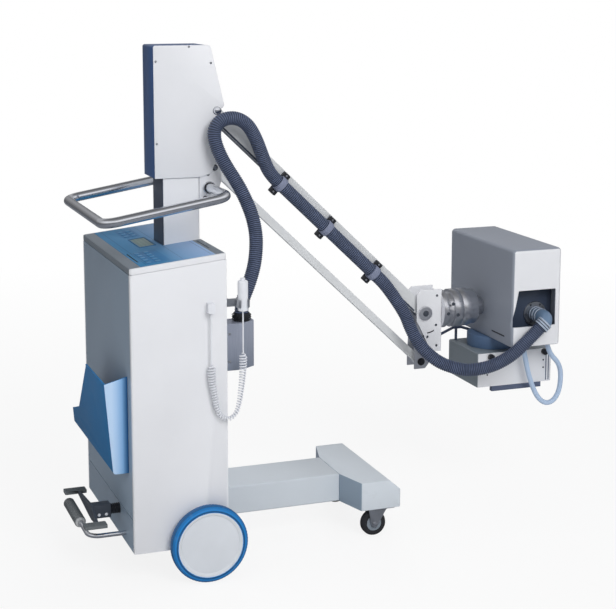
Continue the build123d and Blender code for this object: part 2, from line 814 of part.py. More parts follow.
head_mid = (head_rear + head_front) / 2
head_mid_z = (head_bottom + head_top) / 2
with BuildPart() as head_housing:
    with BuildSketch(Plane.XY.offset(head_bottom)):
        with Locations((head_mid, 0)):
            RectangleRounded(head_front - head_rear, 2 * head_half, 12)
    extrude(amount=head_top - head_bottom)
    fillet(head_housing.faces().sort_by(Axis.Z)[-1].edges(), 11)
    fillet(head_housing.faces().sort_by(Axis.Z)[0].edges(), 4)
    with BuildSketch(Plane.XY.offset(head_bottom + head_wall)):
        with Locations((head_mid, 0)):
            Rectangle(head_front - head_rear - 2 * head_wall, 2 * (head_half - head_wall))
    extrude(amount=head_top - head_bottom - 2 * head_wall, mode=Mode.SUBTRACT)
    with BuildSketch(Plane.XZ.offset(head_half)):
        with BuildLine():
            Polyline(
                (window_x0 - 12, window_z0),
                (window_x0 + 8, window_z1),
                (window_x1, window_z1),
                (window_x1, window_z0),
                close=True,
            )
        make_face()
    extrude(amount=-2 * head_wall, mode=Mode.SUBTRACT)
head_housing.part.label = "head_housing"

with BuildPart() as tube_block:
    with BuildSketch(Plane.XY.offset(head_bottom + head_wall)):
        with Locations((head_mid, window_depth / 2)):
            Rectangle(
                head_front - head_rear - 2 * head_wall,
                2 * (head_half - head_wall) - window_depth,
            )
    extrude(amount=head_top - head_bottom - 2 * head_wall)
tube_block.part.label = "tube_block"

# Collimator

with BuildPart() as collimator_body:
    with BuildSketch(Plane.XY.offset(coll_bottom)):
        with Locations((coll_mid, 0)):
            RectangleRounded(coll_front - coll_rear, 2 * coll_half, 6)
    extrude(amount=coll_top - coll_bottom)
    fillet(collimator_body.faces().sort_by(Axis.Z)[-1].edges(), 4)
    with BuildSketch(Plane.XY.offset(coll_bottom)):
        with Locations((coll_mid, 0)):
            Rectangle(2 * port_half, 2 * port_half)
    extrude(amount=18, mode=Mode.SUBTRACT)
collimator_body.part.label = "collimator_body"

with BuildPart() as collimator_window:
    with BuildSketch(Plane.XY.offset(coll_bottom + 14)):
        with Locations((coll_mid, 0)):
            Rectangle(2 * port_half, 2 * port_half)
    extrude(amount=4)
collimator_window.part.label = "collimator_window"

with BuildPart() as collimator_ring:
    with BuildSketch(Plane.XY.offset(coll_top)):
        with Locations((coll_mid - 25, 0)):
            Circle(72)
    extrude(amount=head_bottom - coll_top)
collimator_ring.part.label = "collimator_ring"

with BuildPart() as collimator_rails:
    with BuildSketch(Plane.XY.offset(coll_bottom)):
        with Locations((coll_mid + rail_forward, -(coll_half - 8))):
            Rectangle(rail_length, 14)
    extrude(amount=-rail_height)
    mirror(about=Plane.XZ)
collimator_rails.part.label = "collimator_rails"

lever_y = coll_half - 12.0
lever_radius = 4.0
lever_top = coll_top + 36.0
with BuildPart() as collimator_handle:
    with BuildLine() as lever_path:
        FilletPolyline(
            (coll_rear + 94, lever_y, coll_top),
            (coll_rear + 94, lever_y, coll_top + 16),
            (coll_rear + 34, lever_y, lever_top),
            (coll_rear + 8, lever_y, lever_top),
            (coll_rear - 70, lever_y, coll_top + 4),
            radius=9,
        )
    with BuildSketch(lever_path.line ^ 0):
        Circle(lever_radius)
    sweep()
    with BuildSketch(Plane.XY.offset(coll_top)):
        with Locations((coll_rear + 18, lever_y)):
            Circle(lever_radius)
    extrude(amount=lever_top - coll_top)
collimator_handle.part.label = "collimator_handle"

with BuildPart() as collimator_knobs:
    with BuildSketch(Plane.XZ.offset(coll_half)):
        with Locations((coll_rear + 40, coll_top - 12), (coll_front - 25, coll_top - 10)):
            Circle(9)
    extrude(amount=12)
    fillet(collimator_knobs.faces().sort_by(Axis.Y)[0].edges(), 2)
    fillet(collimator_knobs.faces().sort_by(Axis.Y)[1].edges(), 2)
collimator_knobs.part.label = "collimator_knobs"

# Foot brake

pad_length = 58.0
pad_width = 32.0
pad_thickness = 8.0
pad_far_y = 49.0
pad_near_y = -200.0
pad_far_z = 161.0
pad_near_z = 151.0
rocker_plate = 6.0
rocker_pivot_y = -112.0
rocker_pivot_z = 155.0
pad_x = rear_x - pedal_reach + pad_length / 2
with BuildPart() as brake_rocker:
    with BuildSketch(Plane.XY.offset(pad_far_z)):
        with Locations((pad_x, pad_far_y)):
            RectangleRounded(pad_length, pad_width, 4)
    extrude(amount=-pad_thickness)
    with BuildSketch(Plane.XY.offset(pad_near_z)):
        with Locations((pad_x, pad_near_y)):
            RectangleRounded(pad_length, pad_width, 4)
    extrude(amount=-pad_thickness)
    with BuildSketch(Plane.YZ.offset(rear_x - 78)):
        with BuildLine():
            Polyline(
                (pad_far_y - 10, pad_far_z - pad_thickness),
                (pad_far_y - 10, pad_far_z - 1),
                (rocker_pivot_y + 12, rocker_pivot_z + 18),
                (rocker_pivot_y - 16, rocker_pivot_z + 18),
                (pad_near_y + 10, pad_near_z - 1),
                (pad_near_y + 10, pad_near_z - pad_thickness),
                (rocker_pivot_y - 16, rocker_pivot_z - 18),
                (rocker_pivot_y + 16, rocker_pivot_z - 16),
                close=True,
            )
        make_face()
    extrude(amount=rocker_plate)
    with BuildSketch(Plane.YZ.offset(rear_x - 78 + rocker_plate)):
        with Locations((rocker_pivot_y, rocker_pivot_z)):
            Rectangle(32, 34)
    extrude(amount=46)
    with BuildSketch(Plane.YZ.offset(rear_x)):
        with Locations((rocker_pivot_y, rocker_pivot_z)):
            Circle(9)
    extrude(amount=-30)
brake_rocker.part.label = "brake_rocker"

bar_radius = 6.0
foot_bar_y = -182.0
foot_bar_z = 112.0
foot_bar_x = rear_x - 95.0
foot_bar_end = 84.0
with BuildPart() as foot_bar:
    with BuildLine() as foot_path:
        FilletPolyline(
            (rear_x, foot_bar_y, foot_bar_z),
            (foot_bar_x, foot_bar_y, foot_bar_z),
            (foot_bar_x, foot_bar_end, foot_bar_z + 4),
            radius=30,
        )
    with BuildSketch(foot_path.line ^ 0):
        Circle(bar_radius)
    sweep()
foot_bar.part.label = "foot_bar"

grip_length = 160.0
grip_clear = 0.3
grip_plane = Plane(
    origin=(foot_bar_x, foot_bar_end - 3, foot_bar_z + 3.95),
    z_dir=(0, -(foot_bar_end - foot_bar_y), -4),
)
with BuildPart() as foot_grip:
    with BuildSketch(grip_plane):
        Circle(13)
        Circle(bar_radius + grip_clear, mode=Mode.SUBTRACT)
    extrude(amount=grip_length)
    fillet(foot_grip.edges().filter_by(GeomType.CIRCLE).group_by(SortBy.RADIUS)[-1], 4)
foot_grip.part.label = "foot_grip"

# Hose holder, gland and hand switch at the front of the cabinet

holder_bottom = 527.0
holder_top = 648.0
gland_x = front_x + 59.0
gland_y = -(cabinet_half - 66.0)
gland_radius = 21.0
gland_height = 20.0
holder_side = -(cabinet_half - 32.0)
with BuildPart() as hose_holder:
    with BuildSketch(Plane.XY.offset(holder_bottom)):
        with BuildLine():
            Polyline(
                (front_x, holder_side),
                (front_x + 50, holder_side),
                (front_x + 90, holder_side + 28),
                (front_x + 90, holder_side + 62),
                (front_x, holder_side + 62),
                close=True,
            )
        make_face()
    extrude(amount=holder_top - holder_bottom)
hose_holder.part.label = "hose_holder"

inlet_x = rear_x + 201.0
inlet_z = 690.0
inlet_width = 18.0
inlet_height = 26.0
inlet_depth = 20.0
with BuildPart() as cable_glands:
    with BuildSketch(Plane.XY.offset(holder_top)):
        with Locations((gland_x, gland_y)):
            Circle(gland_radius)
    extrude(amount=gland_height)
    with BuildSketch(Plane.XY.offset(holder_top + 6)):
        with Locations((gland_x, gland_y)):
            RegularPolygon(gland_radius + 3, 6)
    extrude(amount=8)
    with BuildSketch(Plane.XZ.offset(cabinet_half)):
        with Locations((inlet_x, inlet_z + inlet_height / 2)):
            RectangleRounded(inlet_width, inlet_height, 3)
    extrude(amount=inlet_depth)
cable_glands.part.label = "cable_glands"

switch_x = front_x + 38.0
switch_y = -(cabinet_half + 12.0)
switch_radius = 13.0
switch_bottom = 690.0
switch_height = 78.0
with BuildPart() as hand_switch:
    with BuildSketch(Plane.XY.offset(switch_bottom)):
        with Locations((switch_x, switch_y)):
            Circle(switch_radius)
    extrude(amount=switch_height)
    fillet(hand_switch.edges().group_by(Axis.Z)[-1], 5)
    fillet(hand_switch.edges().group_by(Axis.Z)[0], 4)
    with BuildSketch(Plane.XY.offset(switch_bottom + switch_height)):
        with Locations((switch_x, switch_y)):
            Circle(6)
    extrude(amount=6)
hand_switch.part.label = "hand_switch"

clip_clear = 0.3
clip_wall = 4.0
clip_bottom = switch_bottom + 10
clip_height = 20.0
clip_arm_y = switch_y + switch_radius + clip_clear + clip_wall / 2
clip_foot = 24.0  # the foot that lies on the cabinet's front panel
with BuildPart() as switch_clip:
    with BuildSketch(Plane.XY.offset(clip_bottom)):
        with Locations((switch_x, switch_y)):
            Circle(switch_radius + clip_wall)
        with Locations((switch_x, switch_y - switch_radius - 6)):
            Rectangle(18, 20, mode=Mode.SUBTRACT)
        with Locations(((front_x + switch_x) / 2, clip_arm_y)):
            Rectangle(switch_x - front_x, clip_wall)
        with Locations((front_x + clip_wall / 2, clip_arm_y + clip_foot / 2 - clip_wall / 2)):
            Rectangle(clip_wall, clip_foot)
        with Locations((switch_x, switch_y)):
            Circle(switch_radius + clip_clear, mode=Mode.SUBTRACT)
    extrude(amount=clip_height)
switch_clip.part.label = "switch_clip"

# Hose clamps on the arm

clamp_places = [257.0, 439.0, 629.0]  # along the arm, from the main pivot
clamp_length = 18.0
clamp_strap = 3.2
hose_drop = -20.0  # the hose lies this far below the bar's centre line
clamp_foot = 3.3
clamp_reach = 13.0  # the foot stands out this far beyond the hose on its lower side
clamp_top = 35.0  # and this far above the hose's middle on the other
hose_y = bar_half + clamp_foot + 0.2 + hose_radius
with BuildPart() as hose_clamps:
    for place in clamp_places:
        with BuildSketch(
            Plane(
                origin=arm_plane.from_local_coords((place, hose_drop, hose_y)),
                x_dir=arm_plane.y_dir,
                z_dir=arm_plane.x_dir,
            )
        ):
            Circle(hose_radius + clamp_strap)
            with Locations(
                ((clamp_top - clamp_reach - hose_radius) / 2, -hose_y + bar_half + clamp_foot / 2)
            ):
                Rectangle(clamp_top + clamp_reach + hose_radius, clamp_foot)
            Circle(hose_radius + 0.2, mode=Mode.SUBTRACT)
        extrude(amount=clamp_length)
hose_clamps.part.label = "hose_clamps"


# Hoses and cables: straight runs joined by tangent arcs


def bend_radii(points):
    """The largest even radius at each inner point of a route."""
    radii = []
    for before, here, after in zip(points, points[1:], points[2:]):
        first = Vector(*here) - Vector(*before)
        second = Vector(*after) - Vector(*here)
        turn = radians(first.get_angle(second))
        radii.append(0.45 * min(first.length, second.length) / tan(turn / 2))
    return radii


def halfway(points, index):
    """The middle of the run that starts at a point of a route."""
    middle = (Vector(*points[index]) + Vector(*points[index + 1])) / 2
    return (middle.X, middle.Y, middle.Z)


def check_tube(name, part, line, radius, radii):
    """Prints the bends and compares the tube's volume with its section times its length."""
    length = sum(edge.length for edge in line.edges())
    ratio = part.volume / (pi * radius**2 * length)
    bends = " ".join(f"{value:.0f}" for value in radii)
    print(f"{name}: {length:.0f} mm, volume ratio {ratio:.4f}, radii {bends}")


hose_start = (gland_x, gland_y, holder_top + gland_height)
run_start = arm_plane.from_local_coords((clamp_places[0], hose_drop, hose_y))
run_end = arm_plane.from_local_coords((clamp_places[2] + clamp_length, hose_drop, hose_y))
rise = [  # distance from the cabinet's rear, share of the way across, share of the height
    (326, 0.012, 0.173),
    (350, 0.097, 0.292),
    (360, 0.261, 0.446),
    (336, 0.492, 0.615),
    (288, 0.663, 0.773),
    (268, 0.711, 0.892),
    (284, 0.740, 0.958),
    (326, 0.768, 0.977),
    (366, 0.812, 0.942),
    (392, 0.855, 0.865),
    (414, 0.912, 0.765),
]
riser_points = [
    hose_start,
    (gland_x, gland_y, holder_top + gland_height + 26),
    *(
        (rear_x + along, gland_y - across * (gland_y + hose_y), holder_top + up * (pivot_z - holder_top))
        for along, across, up in rise
    ),
    tuple(arm_plane.from_local_coords((clamp_places[0] - 34, hose_drop, hose_y))),
    tuple(run_start),
]
riser_radii = bend_radii(riser_points)
with BuildPart() as hose_riser:
    with BuildLine() as riser_path:
        FilletPolyline(*riser_points, radius=riser_radii)
    with BuildSketch(riser_path.line ^ 0):
        Circle(hose_radius)
    sweep()
hose_riser.part.label = "hose_riser"
check_tube("hose_riser", hose_riser.part, riser_path.line, hose_radius, riser_radii)

with BuildPart() as hose_run:
    with BuildLine() as run_path:
        Line(run_start, run_end)
    with BuildSketch(run_path.line ^ 0):
        Circle(hose_radius)
    sweep()
hose_run.part.label = "hose_run"

elbow_start = (head_x + 258, -228, 566)
drop_points = [
    tuple(run_end),
    tuple(arm_plane.from_local_coords((clamp_places[2] + clamp_length + 44, hose_drop, hose_y))),
    (head_x - 74, -58, 596),
    (head_x - 56, -74, 534),
    (head_x - 20, -92, 482),
    (head_x + 30, -112, 446),
    (head_x + 88, -138, 436),
    (head_x + 138, -176, 452),
    (head_x + 184, -208, 488),
    (head_x + 222, -222, 530),
    elbow_start,
]
drop_radii = bend_radii(drop_points)
with BuildPart() as hose_drop_arm:
    with BuildLine() as drop_arm_path:
        FilletPolyline(*drop_points[:3], halfway(drop_points, 2), radius=drop_radii[:2])
    with BuildSketch(drop_arm_path.line ^ 0):
        Circle(hose_radius)
    sweep()
hose_drop_arm.part.label = "hose_drop_arm"
check_tube("hose_drop_arm", hose_drop_arm.part, drop_arm_path.line, hose_radius, drop_radii[:2])

with BuildPart() as hose_drop_link:
    with BuildLine() as drop_link_path:
        FilletPolyline(
            halfway(drop_points, 2),
            *drop_points[3:6],
            halfway(drop_points, 5),
            radius=drop_radii[2:5],
        )
    with BuildSketch(drop_link_path.line ^ 0):
        Circle(hose_radius)
    sweep()
hose_drop_link.part.label = "hose_drop_link"
check_tube("hose_drop_link", hose_drop_link.part, drop_link_path.line, hose_radius, drop_radii[2:5])

with BuildPart() as hose_drop_head:
    with BuildLine() as drop_head_path:
        FilletPolyline(
            halfway(drop_points, 5),
            *drop_points[6:],
            radius=drop_radii[5:],
        )
    with BuildSketch(drop_head_path.line ^ 0):
        Circle(hose_radius)
    sweep()
hose_drop_head.part.label = "hose_drop_head"
check_tube("hose_drop_head", hose_drop_head.part, drop_head_path.line, hose_radius, drop_radii[5:])

elbow_radius = 20.0
elbow_bend = 24.0
elbow_dir = (Vector(*drop_points[-1]) - Vector(*drop_points[-2])).normalized()
elbow_corner = Vector(*elbow_start) + elbow_dir * 30
with BuildPart() as hose_elbow:
    with BuildLine() as elbow_path:
        FilletPolyline(
            elbow_start,
            elbow_corner,
            (elbow_corner.X, -(head_half - head_wall - window_depth), elbow_corner.Z),
            radius=elbow_bend,
        )
    with BuildSketch(elbow_path.line ^ 0):
        Circle(elbow_radius)
    sweep()
hose_elbow.part.label = "hose_elbow"

cable_y = -132.0
cable_points = [
    (head_x + 326, cable_y - 8, head_bottom),
    (head_x + 334, cable_y - 6, head_bottom - 38),
    (head_x + cable_reach, cable_y, head_bottom - 80),
    (head_x + cable_reach, cable_y, head_bottom - 148),
    (head_x + 361, cable_y + 1, head_bottom - 184),
    (head_x + 332, cable_y + 2, head_bottom - 190),
    (head_x + 304, cable_y + 4, head_bottom - 164),
    (head_x + 280, cable_y + 4, head_bottom - 104),
    (head_x + 266, cable_y + 2, head_bottom - 50),
    (head_x + 254, cable_y, head_bottom),
]
cable_radii = bend_radii(cable_points)
with BuildPart() as head_cable:
    with BuildLine() as cable_path:
        FilletPolyline(*cable_points, radius=cable_radii)
    with BuildSketch(cable_path.line ^ 0):
        Circle(cable_radius)
    sweep()
    split(bisect_by=Plane.XY.offset(head_bottom), keep=Keep.BOTTOM)
head_cable.part.label = "head_cable"
check_tube("head_cable", head_cable.part, cable_path.line, cable_radius, cable_radii)

lead_y = switch_y
coil_points = [
    (inlet_x, lead_y, 560),
    (inlet_x, lead_y, 518),
    (rear_x + 209, lead_y, 478),
    (rear_x + 215, lead_y, 438),
    (rear_x + 232, lead_y, 416),
    (rear_x + 254, lead_y, 416),
    (rear_x + 270, lead_y, 438),
    (rear_x + 278, lead_y, 488),
    (switch_x, lead_y, 546),
    (switch_x, lead_y, 584),
]
coil_radii = bend_radii(coil_points)
with BuildPart() as curly_cord:
    with BuildLine() as coil_path:
        FilletPolyline(*coil_points, radius=coil_radii)
    with BuildSketch(coil_path.line ^ 0):
        Circle(coil_radius)
    sweep()
curly_cord.part.label = "curly_cord"
check_tube("curly_cord", curly_cord.part, coil_path.line, coil_radius, coil_radii)

with BuildPart() as curly_leads:
    with BuildLine() as lead_in_path:
        Line((inlet_x, lead_y, inlet_z), coil_points[0])
    with BuildSketch(lead_in_path.line ^ 0):
        Circle(lead_radius)
    sweep()
    with BuildLine() as lead_out_path:
        Line(coil_points[-1], (switch_x, switch_y, switch_bottom))
    with BuildSketch(lead_out_path.line ^ 0):
        Circle(lead_radius)
    sweep()
curly_leads.part.label = "curly_leads"

for piece in (
    cabinet_sides.part,
    cabinet_rear_upper.part,
    cabinet_rear_lower.part,
    cabinet_front.part,
    chassis.part,
    rear_axle.part,
    top_deck.part,
    control_panel.part,
    display.part,
    mast.part,
    mast_head.part,
    cover_sides.part,
    cover_wrap.part,
    handle.part,
    handle_flanges.part,
    cassette_box.part,
    base_beam.part,
    base_crossbar.part,
    caster_plates.part,
    caster_fork_right,
    caster_fork_left,
    caster_wheel_right,
    caster_wheel_left,
    rear_tyre_right,
    rear_tyre_left,
    rear_hub_right,
    rear_hub_left,
    upper_bar.part,
    lower_bar.part,
    end_link.part,
    tilt_bracket.part,
    tilt_caps.part,
    roll_bearing.part,
    roll_hub.part,
    head_housing.part,
    tube_block.part,
    hose_elbow.part,
    collimator_body.part,
    collimator_window.part,
    collimator_ring.part,
    collimator_rails.part,
    collimator_handle.part,
    collimator_knobs.part,
    hose_clamps.part,
    brake_rocker.part,
    foot_bar.part,
    foot_grip.part,
    hose_holder.part,
    cable_glands.part,
    hand_switch.part,
    switch_clip.part,
    power_unit.part,
    hose_riser.part,
    hose_run.part,
    hose_drop_arm.part,
    hose_drop_link.part,
    hose_drop_head.part,
    head_cable.part,
    curly_cord.part,
    curly_leads.part,
):
    export_step(piece, f"parts/{piece.label}.step")
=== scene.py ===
"""Finishes, fine parts and stage for a mobile x-ray machine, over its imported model."""

import json
import math

import bmesh
import bpy
from mathutils import Matrix, Vector

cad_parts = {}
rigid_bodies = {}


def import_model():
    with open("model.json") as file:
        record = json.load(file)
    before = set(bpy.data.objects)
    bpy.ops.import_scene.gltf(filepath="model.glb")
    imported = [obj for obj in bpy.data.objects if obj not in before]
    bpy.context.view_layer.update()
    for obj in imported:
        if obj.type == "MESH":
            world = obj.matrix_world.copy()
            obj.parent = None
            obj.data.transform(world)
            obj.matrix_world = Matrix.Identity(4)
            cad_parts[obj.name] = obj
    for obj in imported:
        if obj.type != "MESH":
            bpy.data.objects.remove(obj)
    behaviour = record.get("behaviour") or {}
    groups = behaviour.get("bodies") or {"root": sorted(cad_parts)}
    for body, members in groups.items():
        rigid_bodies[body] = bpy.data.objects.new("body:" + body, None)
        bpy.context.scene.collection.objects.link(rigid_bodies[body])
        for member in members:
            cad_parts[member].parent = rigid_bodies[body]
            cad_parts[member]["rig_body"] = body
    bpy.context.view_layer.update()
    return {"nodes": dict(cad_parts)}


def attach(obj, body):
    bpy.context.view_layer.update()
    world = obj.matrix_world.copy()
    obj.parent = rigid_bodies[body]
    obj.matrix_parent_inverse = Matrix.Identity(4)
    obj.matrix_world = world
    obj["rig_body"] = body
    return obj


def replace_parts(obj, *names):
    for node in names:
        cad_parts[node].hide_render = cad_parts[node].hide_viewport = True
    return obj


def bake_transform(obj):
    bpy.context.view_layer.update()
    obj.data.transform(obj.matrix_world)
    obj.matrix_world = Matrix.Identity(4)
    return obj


bl_info = {
    "name": "Mobile X-ray Machine Finishes",
    "version": (1, 0, 0),
    "blender": (4, 5, 0),
    "location": "3D View > Sidebar > X-ray machine",
    "description": "Paints a mobile x-ray machine, and adds its hoses, screws, keys and treads",
    "category": "Object",
}

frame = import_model()

REAR = -0.579  # the cabinet's rear face
DEPTH = 0.246
FRONT = REAR + DEPTH
DECK_Z, DECK_RISE = 0.811, 0.026  # the deck's height at the rear, and how much it rises to the front
PIVOT = Vector((REAR + 0.290, 0.0, 1.168))
ARM_END = Vector((PIVOT.x + 0.610, 0.0, 0.583))
ARM_ALONG = (ARM_END - PIVOT).normalized()
ARM_UP = Vector((-ARM_ALONG.z, 0.0, ARM_ALONG.x))
ROLL_Z = ARM_END.z + 0.003
HANDLE_X, HANDLE_Z = REAR + 0.268, 0.971
WHEEL_X, WHEEL_OUT, WHEEL_RADIUS = REAR + 0.187, 0.297, 0.100
CASTER_X, CASTER_OUT, CASTER_RADIUS = REAR + 0.700, 0.140, 0.035
BAR_RADIUS = 0.006
SIDES = (("right", -1), ("left", 1))


def on_arm(along, up, out):
    """A point placed from the main pivot: along the arm, square to it, and out to the right."""
    return PIVOT + ARM_ALONG * along + ARM_UP * up + Vector((0, -out, 0))


def srgb(red, green, blue):
    """A colour as it is read on a screen, from 0 to 255, as Blender's linear values."""

    def linear(value):
        share = value / 255
        return share / 12.92 if share <= 0.04045 else ((share + 0.055) / 1.055) ** 2.4

    return (linear(red), linear(green), linear(blue))


# Shader maths


class Sock:
    """A node's output that takes part in Python arithmetic."""

    def __init__(self, graph, socket):
        self.graph = graph
        self.socket = socket

    def maths(self, operation, *values):
        """A Math node over this value and others."""
        return self.graph.out("ShaderNodeMath", {"operation": operation}, dict(enumerate((self, *values))))

    def __add__(self, other):
        return self.maths("ADD", other)

    def __radd__(self, other):
        return self.maths("ADD", other)

    def __sub__(self, other):
        return self.maths("SUBTRACT", other)

    def __rsub__(self, other):
        return self.maths("MULTIPLY", -1.0).maths("ADD", other)

    def __mul__(self, other):
        return self.maths("MULTIPLY", other)

    def __rmul__(self, other):
        return self.maths("MULTIPLY", other)

    def above(self, edge):
        """1 where this is over an edge, and 0 elsewhere."""
        return self.maths("GREATER_THAN", edge)

    def near(self, middle, reach):
        """1 within a reach of a middle, and 0 elsewhere."""
        return 1 - (self - middle).maths("ABSOLUTE").above(reach)

    def ramp(self, low, high):
        """0 at a low value and 1 at a high one, held outside them."""
        return self.graph.out("ShaderNodeMapRange", {"clamp": True}, {0: self, 1: low, 2: high})


class Graph:
    """A node tree that is built from the outputs of its nodes."""

    def __init__(self, tree):
        self.tree = tree

    def node(self, kind, settings=None, sockets=None):
        """Any node: its type, its settings, then the values or links of its sockets."""
        made = self.tree.nodes.new(kind)
        for name, value in (settings or {}).items():
            setattr(made, name, value)
        for name, value in (sockets or {}).items():
            self.feed(made.inputs[name], value)
        return made

    def out(self, kind, settings=None, sockets=None, output=0):
        """One output of a new node."""
        return Sock(self, self.node(kind, settings, sockets).outputs[output])

    def feed(self, socket, value):
        """Links an output to a socket, or sets its value."""
        if isinstance(value, Sock):
            self.tree.links.new(value.socket, socket)
        elif isinstance(value, tuple) and len(value) == 3 and len(socket.default_value) == 4:
            socket.default_value = (*value, 1.0)
        else:
            socket.default_value = value


class Finish(Graph):
    """One procedural material."""

    def __init__(self, name, **fixed):
        self.material = bpy.data.materials.new(name)
        self.material.use_nodes = True
        super().__init__(self.material.node_tree)
        self.shader = self.tree.nodes["Principled BSDF"]
        for socket, value in fixed.items():
            title = socket.replace("_", " ").title().replace("Ior", "IOR")
            self.shader.inputs[title].default_value = value
        self.place = self.out("ShaderNodeTexCoord", output="Object")

    def noise(self, scale, detail=2.0, stretch=None):
        """A noise over the object, from 0 to 1, stretched along any axis."""
        place = self.out("ShaderNodeMapping", {}, {0: self.place, 3: stretch}) if stretch else self.place
        return self.out("ShaderNodeTexNoise", {}, {"Vector": place, "Scale": scale, "Detail": detail})

    def axes(self):
        """The object's x, y and z, in metres."""
        made = self.node("ShaderNodeSeparateXYZ", {}, {0: self.place})
        return [Sock(self, made.outputs[index]) for index in range(3)]

    def mix(self, share, first, second):
        """A colour between two others."""
        return self.out("ShaderNodeMix", {"data_type": "RGBA"}, {0: share, 6: first, 7: second}, 2)

    def coat(self, colour, roughness, height=None, depth=0.0001):
        """Joins what varies to the shader: colour, roughness and relief."""
        self.feed(self.shader.inputs["Base Color"], colour)
        self.feed(self.shader.inputs["Roughness"], roughness)
        if height is not None:
            relief = self.out("ShaderNodeBump", {}, {"Height": height, "Distance": depth, "Strength": 1.0})
            self.feed(self.shader.inputs["Normal"], relief)
        return self.material


def shade(colour, factor):
    """A colour made darker or lighter."""
    return tuple(min(1.0, channel * factor) for channel in colour)


def paint(name, colour, roughness=0.36, grain=900.0, wear=None):
    """Baked enamel: an orange-peel skin, a slight mottle, and a gloss that varies."""
    finish = Finish(name, coat_weight=0.15, coat_roughness=0.2)
    mottle = finish.noise(9.0, 3.0)
    fine = finish.noise(grain, 1.0)
    tint = finish.mix(mottle, shade(colour, 0.965), shade(colour, 1.03))
    if wear is not None:
        rubbed = (finish.noise(60.0, 6.0) * finish.noise(7.0, 2.0)).ramp(0.36, 0.40)
        tint = finish.mix(rubbed * wear, tint, shade(colour, 0.72))
    return finish.coat(tint, roughness + 0.12 * (mottle - 0.5), fine, 0.00006)


def moulded(name, colour, roughness=0.48, grain=2600.0, depth=0.00005):
    """Moulded plastic or rubber with a fine grained skin."""
    finish = Finish(name)
    cloud = finish.noise(14.0, 4.0)
    grained = finish.noise(grain, 2.0)
    tint = finish.mix(cloud, shade(colour, 0.93), shade(colour, 1.06))
    return finish.coat(tint, roughness + 0.14 * (cloud - 0.5), grained, depth)


def metal(name, colour, roughness, scale, stretch=None):
    """Bare or plated metal, with smears in its gloss and fine lines in its skin."""
    finish = Finish(name, metallic=1.0)
    smear = finish.noise(24.0, 4.0)
    lines = finish.noise(scale, 3.0, stretch)
    tint = finish.mix(lines, shade(colour, 0.92), shade(colour, 1.05))
    return finish.coat(tint, roughness * (0.7 + 0.7 * smear), lines, 0.00001)


# Mesh tools


def piece(name, mesh, body, *finishes):
    """An object in the scene that holds a mesh, rides on a body and wears its finishes."""
    made = bpy.data.objects.new(name, mesh)
    bpy.context.scene.collection.objects.link(made)
    for finish in finishes:
        made.data.materials.append(finish_of(finish))
    if body:
        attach(made, body)
    return made


def welded(node):
    """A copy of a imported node's mesh, with its triangles joined and its flat faces whole."""
    mesh = frame["nodes"][node].data.copy()
    mesh.materials.clear()
    work = bmesh.new()
    work.from_mesh(mesh)
    bmesh.ops.remove_doubles(work, verts=work.verts, dist=4e-6)
    bmesh.ops.dissolve_limit(work, angle_limit=math.radians(0.5), verts=work.verts, edges=work.edges)
    for face in work.faces:
        face.smooth = True
        face.material_index = 0
    work.to_mesh(mesh)
    work.free()
    for name in [layer.name for layer in mesh.uv_layers]:
        mesh.uv_layers.remove(mesh.uv_layers[name])
    return mesh


def sliced(mesh, start, along, step, count):
    """Cuts a long mesh across at even steps, so that its flat faces don't become needles."""
    work = bmesh.new()
    work.from_mesh(mesh)
    for index in range(count):
        everything = work.verts[:] + work.edges[:] + work.faces[:]
        bmesh.ops.bisect_plane(work, geom=everything, plane_co=start + along * step * index, plane_no=along)
    work.to_mesh(mesh)
    work.free()


def dress(node, *finishes, edge=0.0008, tone=None, cuts=None):
    """Stands a bevelled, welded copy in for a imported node. A tone picks each face's finish."""
    body = frame["nodes"][node]["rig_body"]
    mesh = welded(node)
    if cuts:
        sliced(mesh, *cuts)
    made = piece(f"{node}_dressed", mesh, body, *finishes)
    if tone:
        for face in mesh.polygons:
            face.material_index = tone(face.center, face.normal)
    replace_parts(made, node)
    if not edge:
        smooth(mesh, 30)
        return made
    bevel = made.modifiers.new("edges", "BEVEL")
    bevel.width = edge
    bevel.segments = 2
    bevel.limit_method = "ANGLE"
    bevel.angle_limit = math.radians(28)
    bevel.harden_normals = True
    return made


def smooth(mesh, angle):
    """Shades a mesh smooth, but for edges sharper than an angle in degrees."""
    for face in mesh.polygons:
        face.use_smooth = True
    mesh.set_sharp_from_angle(angle=math.radians(angle))
    return mesh


def mesh_of(work, name, angle):
    """Turns a bmesh into a mesh that is smooth but for edges sharper than an angle."""
    mesh = bpy.data.meshes.new(name)
    work.to_mesh(mesh)
    work.free()
    return smooth(mesh, angle)


def join_rings(work, low, high):
    """Faces between two rings with as many corners."""
    for k in range(len(low)):
        after = (k + 1) % len(low)
        work.faces.new((low[k], low[after], high[after], high[k]))


def turned(profile, steps, name="turned"):
    """A solid of revolution about +Z, from (radius, height) points that run up its outside."""
    work = bmesh.new()
    rings = []
    for radius, height in profile:
        if radius < 1e-7:
            rings.append([work.verts.new((0, 0, height))])
        else:
            angles = [2 * math.pi * i / steps for i in range(steps)]
            points = [(radius * math.cos(a), radius * math.sin(a), height) for a in angles]
            rings.append([work.verts.new(point) for point in points])
    for low, high in zip(rings, rings[1:]):
        for i in range(steps):
            j = (i + 1) % steps
            corners = (low[i % len(low)], low[j % len(low)], high[j % len(high)], high[i % len(high)])
            corners = list(dict.fromkeys(corners))  # two of them are one where a ring is a single point
            if len(corners) > 2:
                work.faces.new(corners)
    bmesh.ops.recalc_face_normals(work, faces=work.faces)
    return mesh_of(work, name, 32)


def both_faces(half):
    """A closed profile that is the same on both faces, from its upper half, inside first."""
    return [(radius, -height) for radius, height in half] + half[::-1] + [(half[0][0], -half[0][1])]


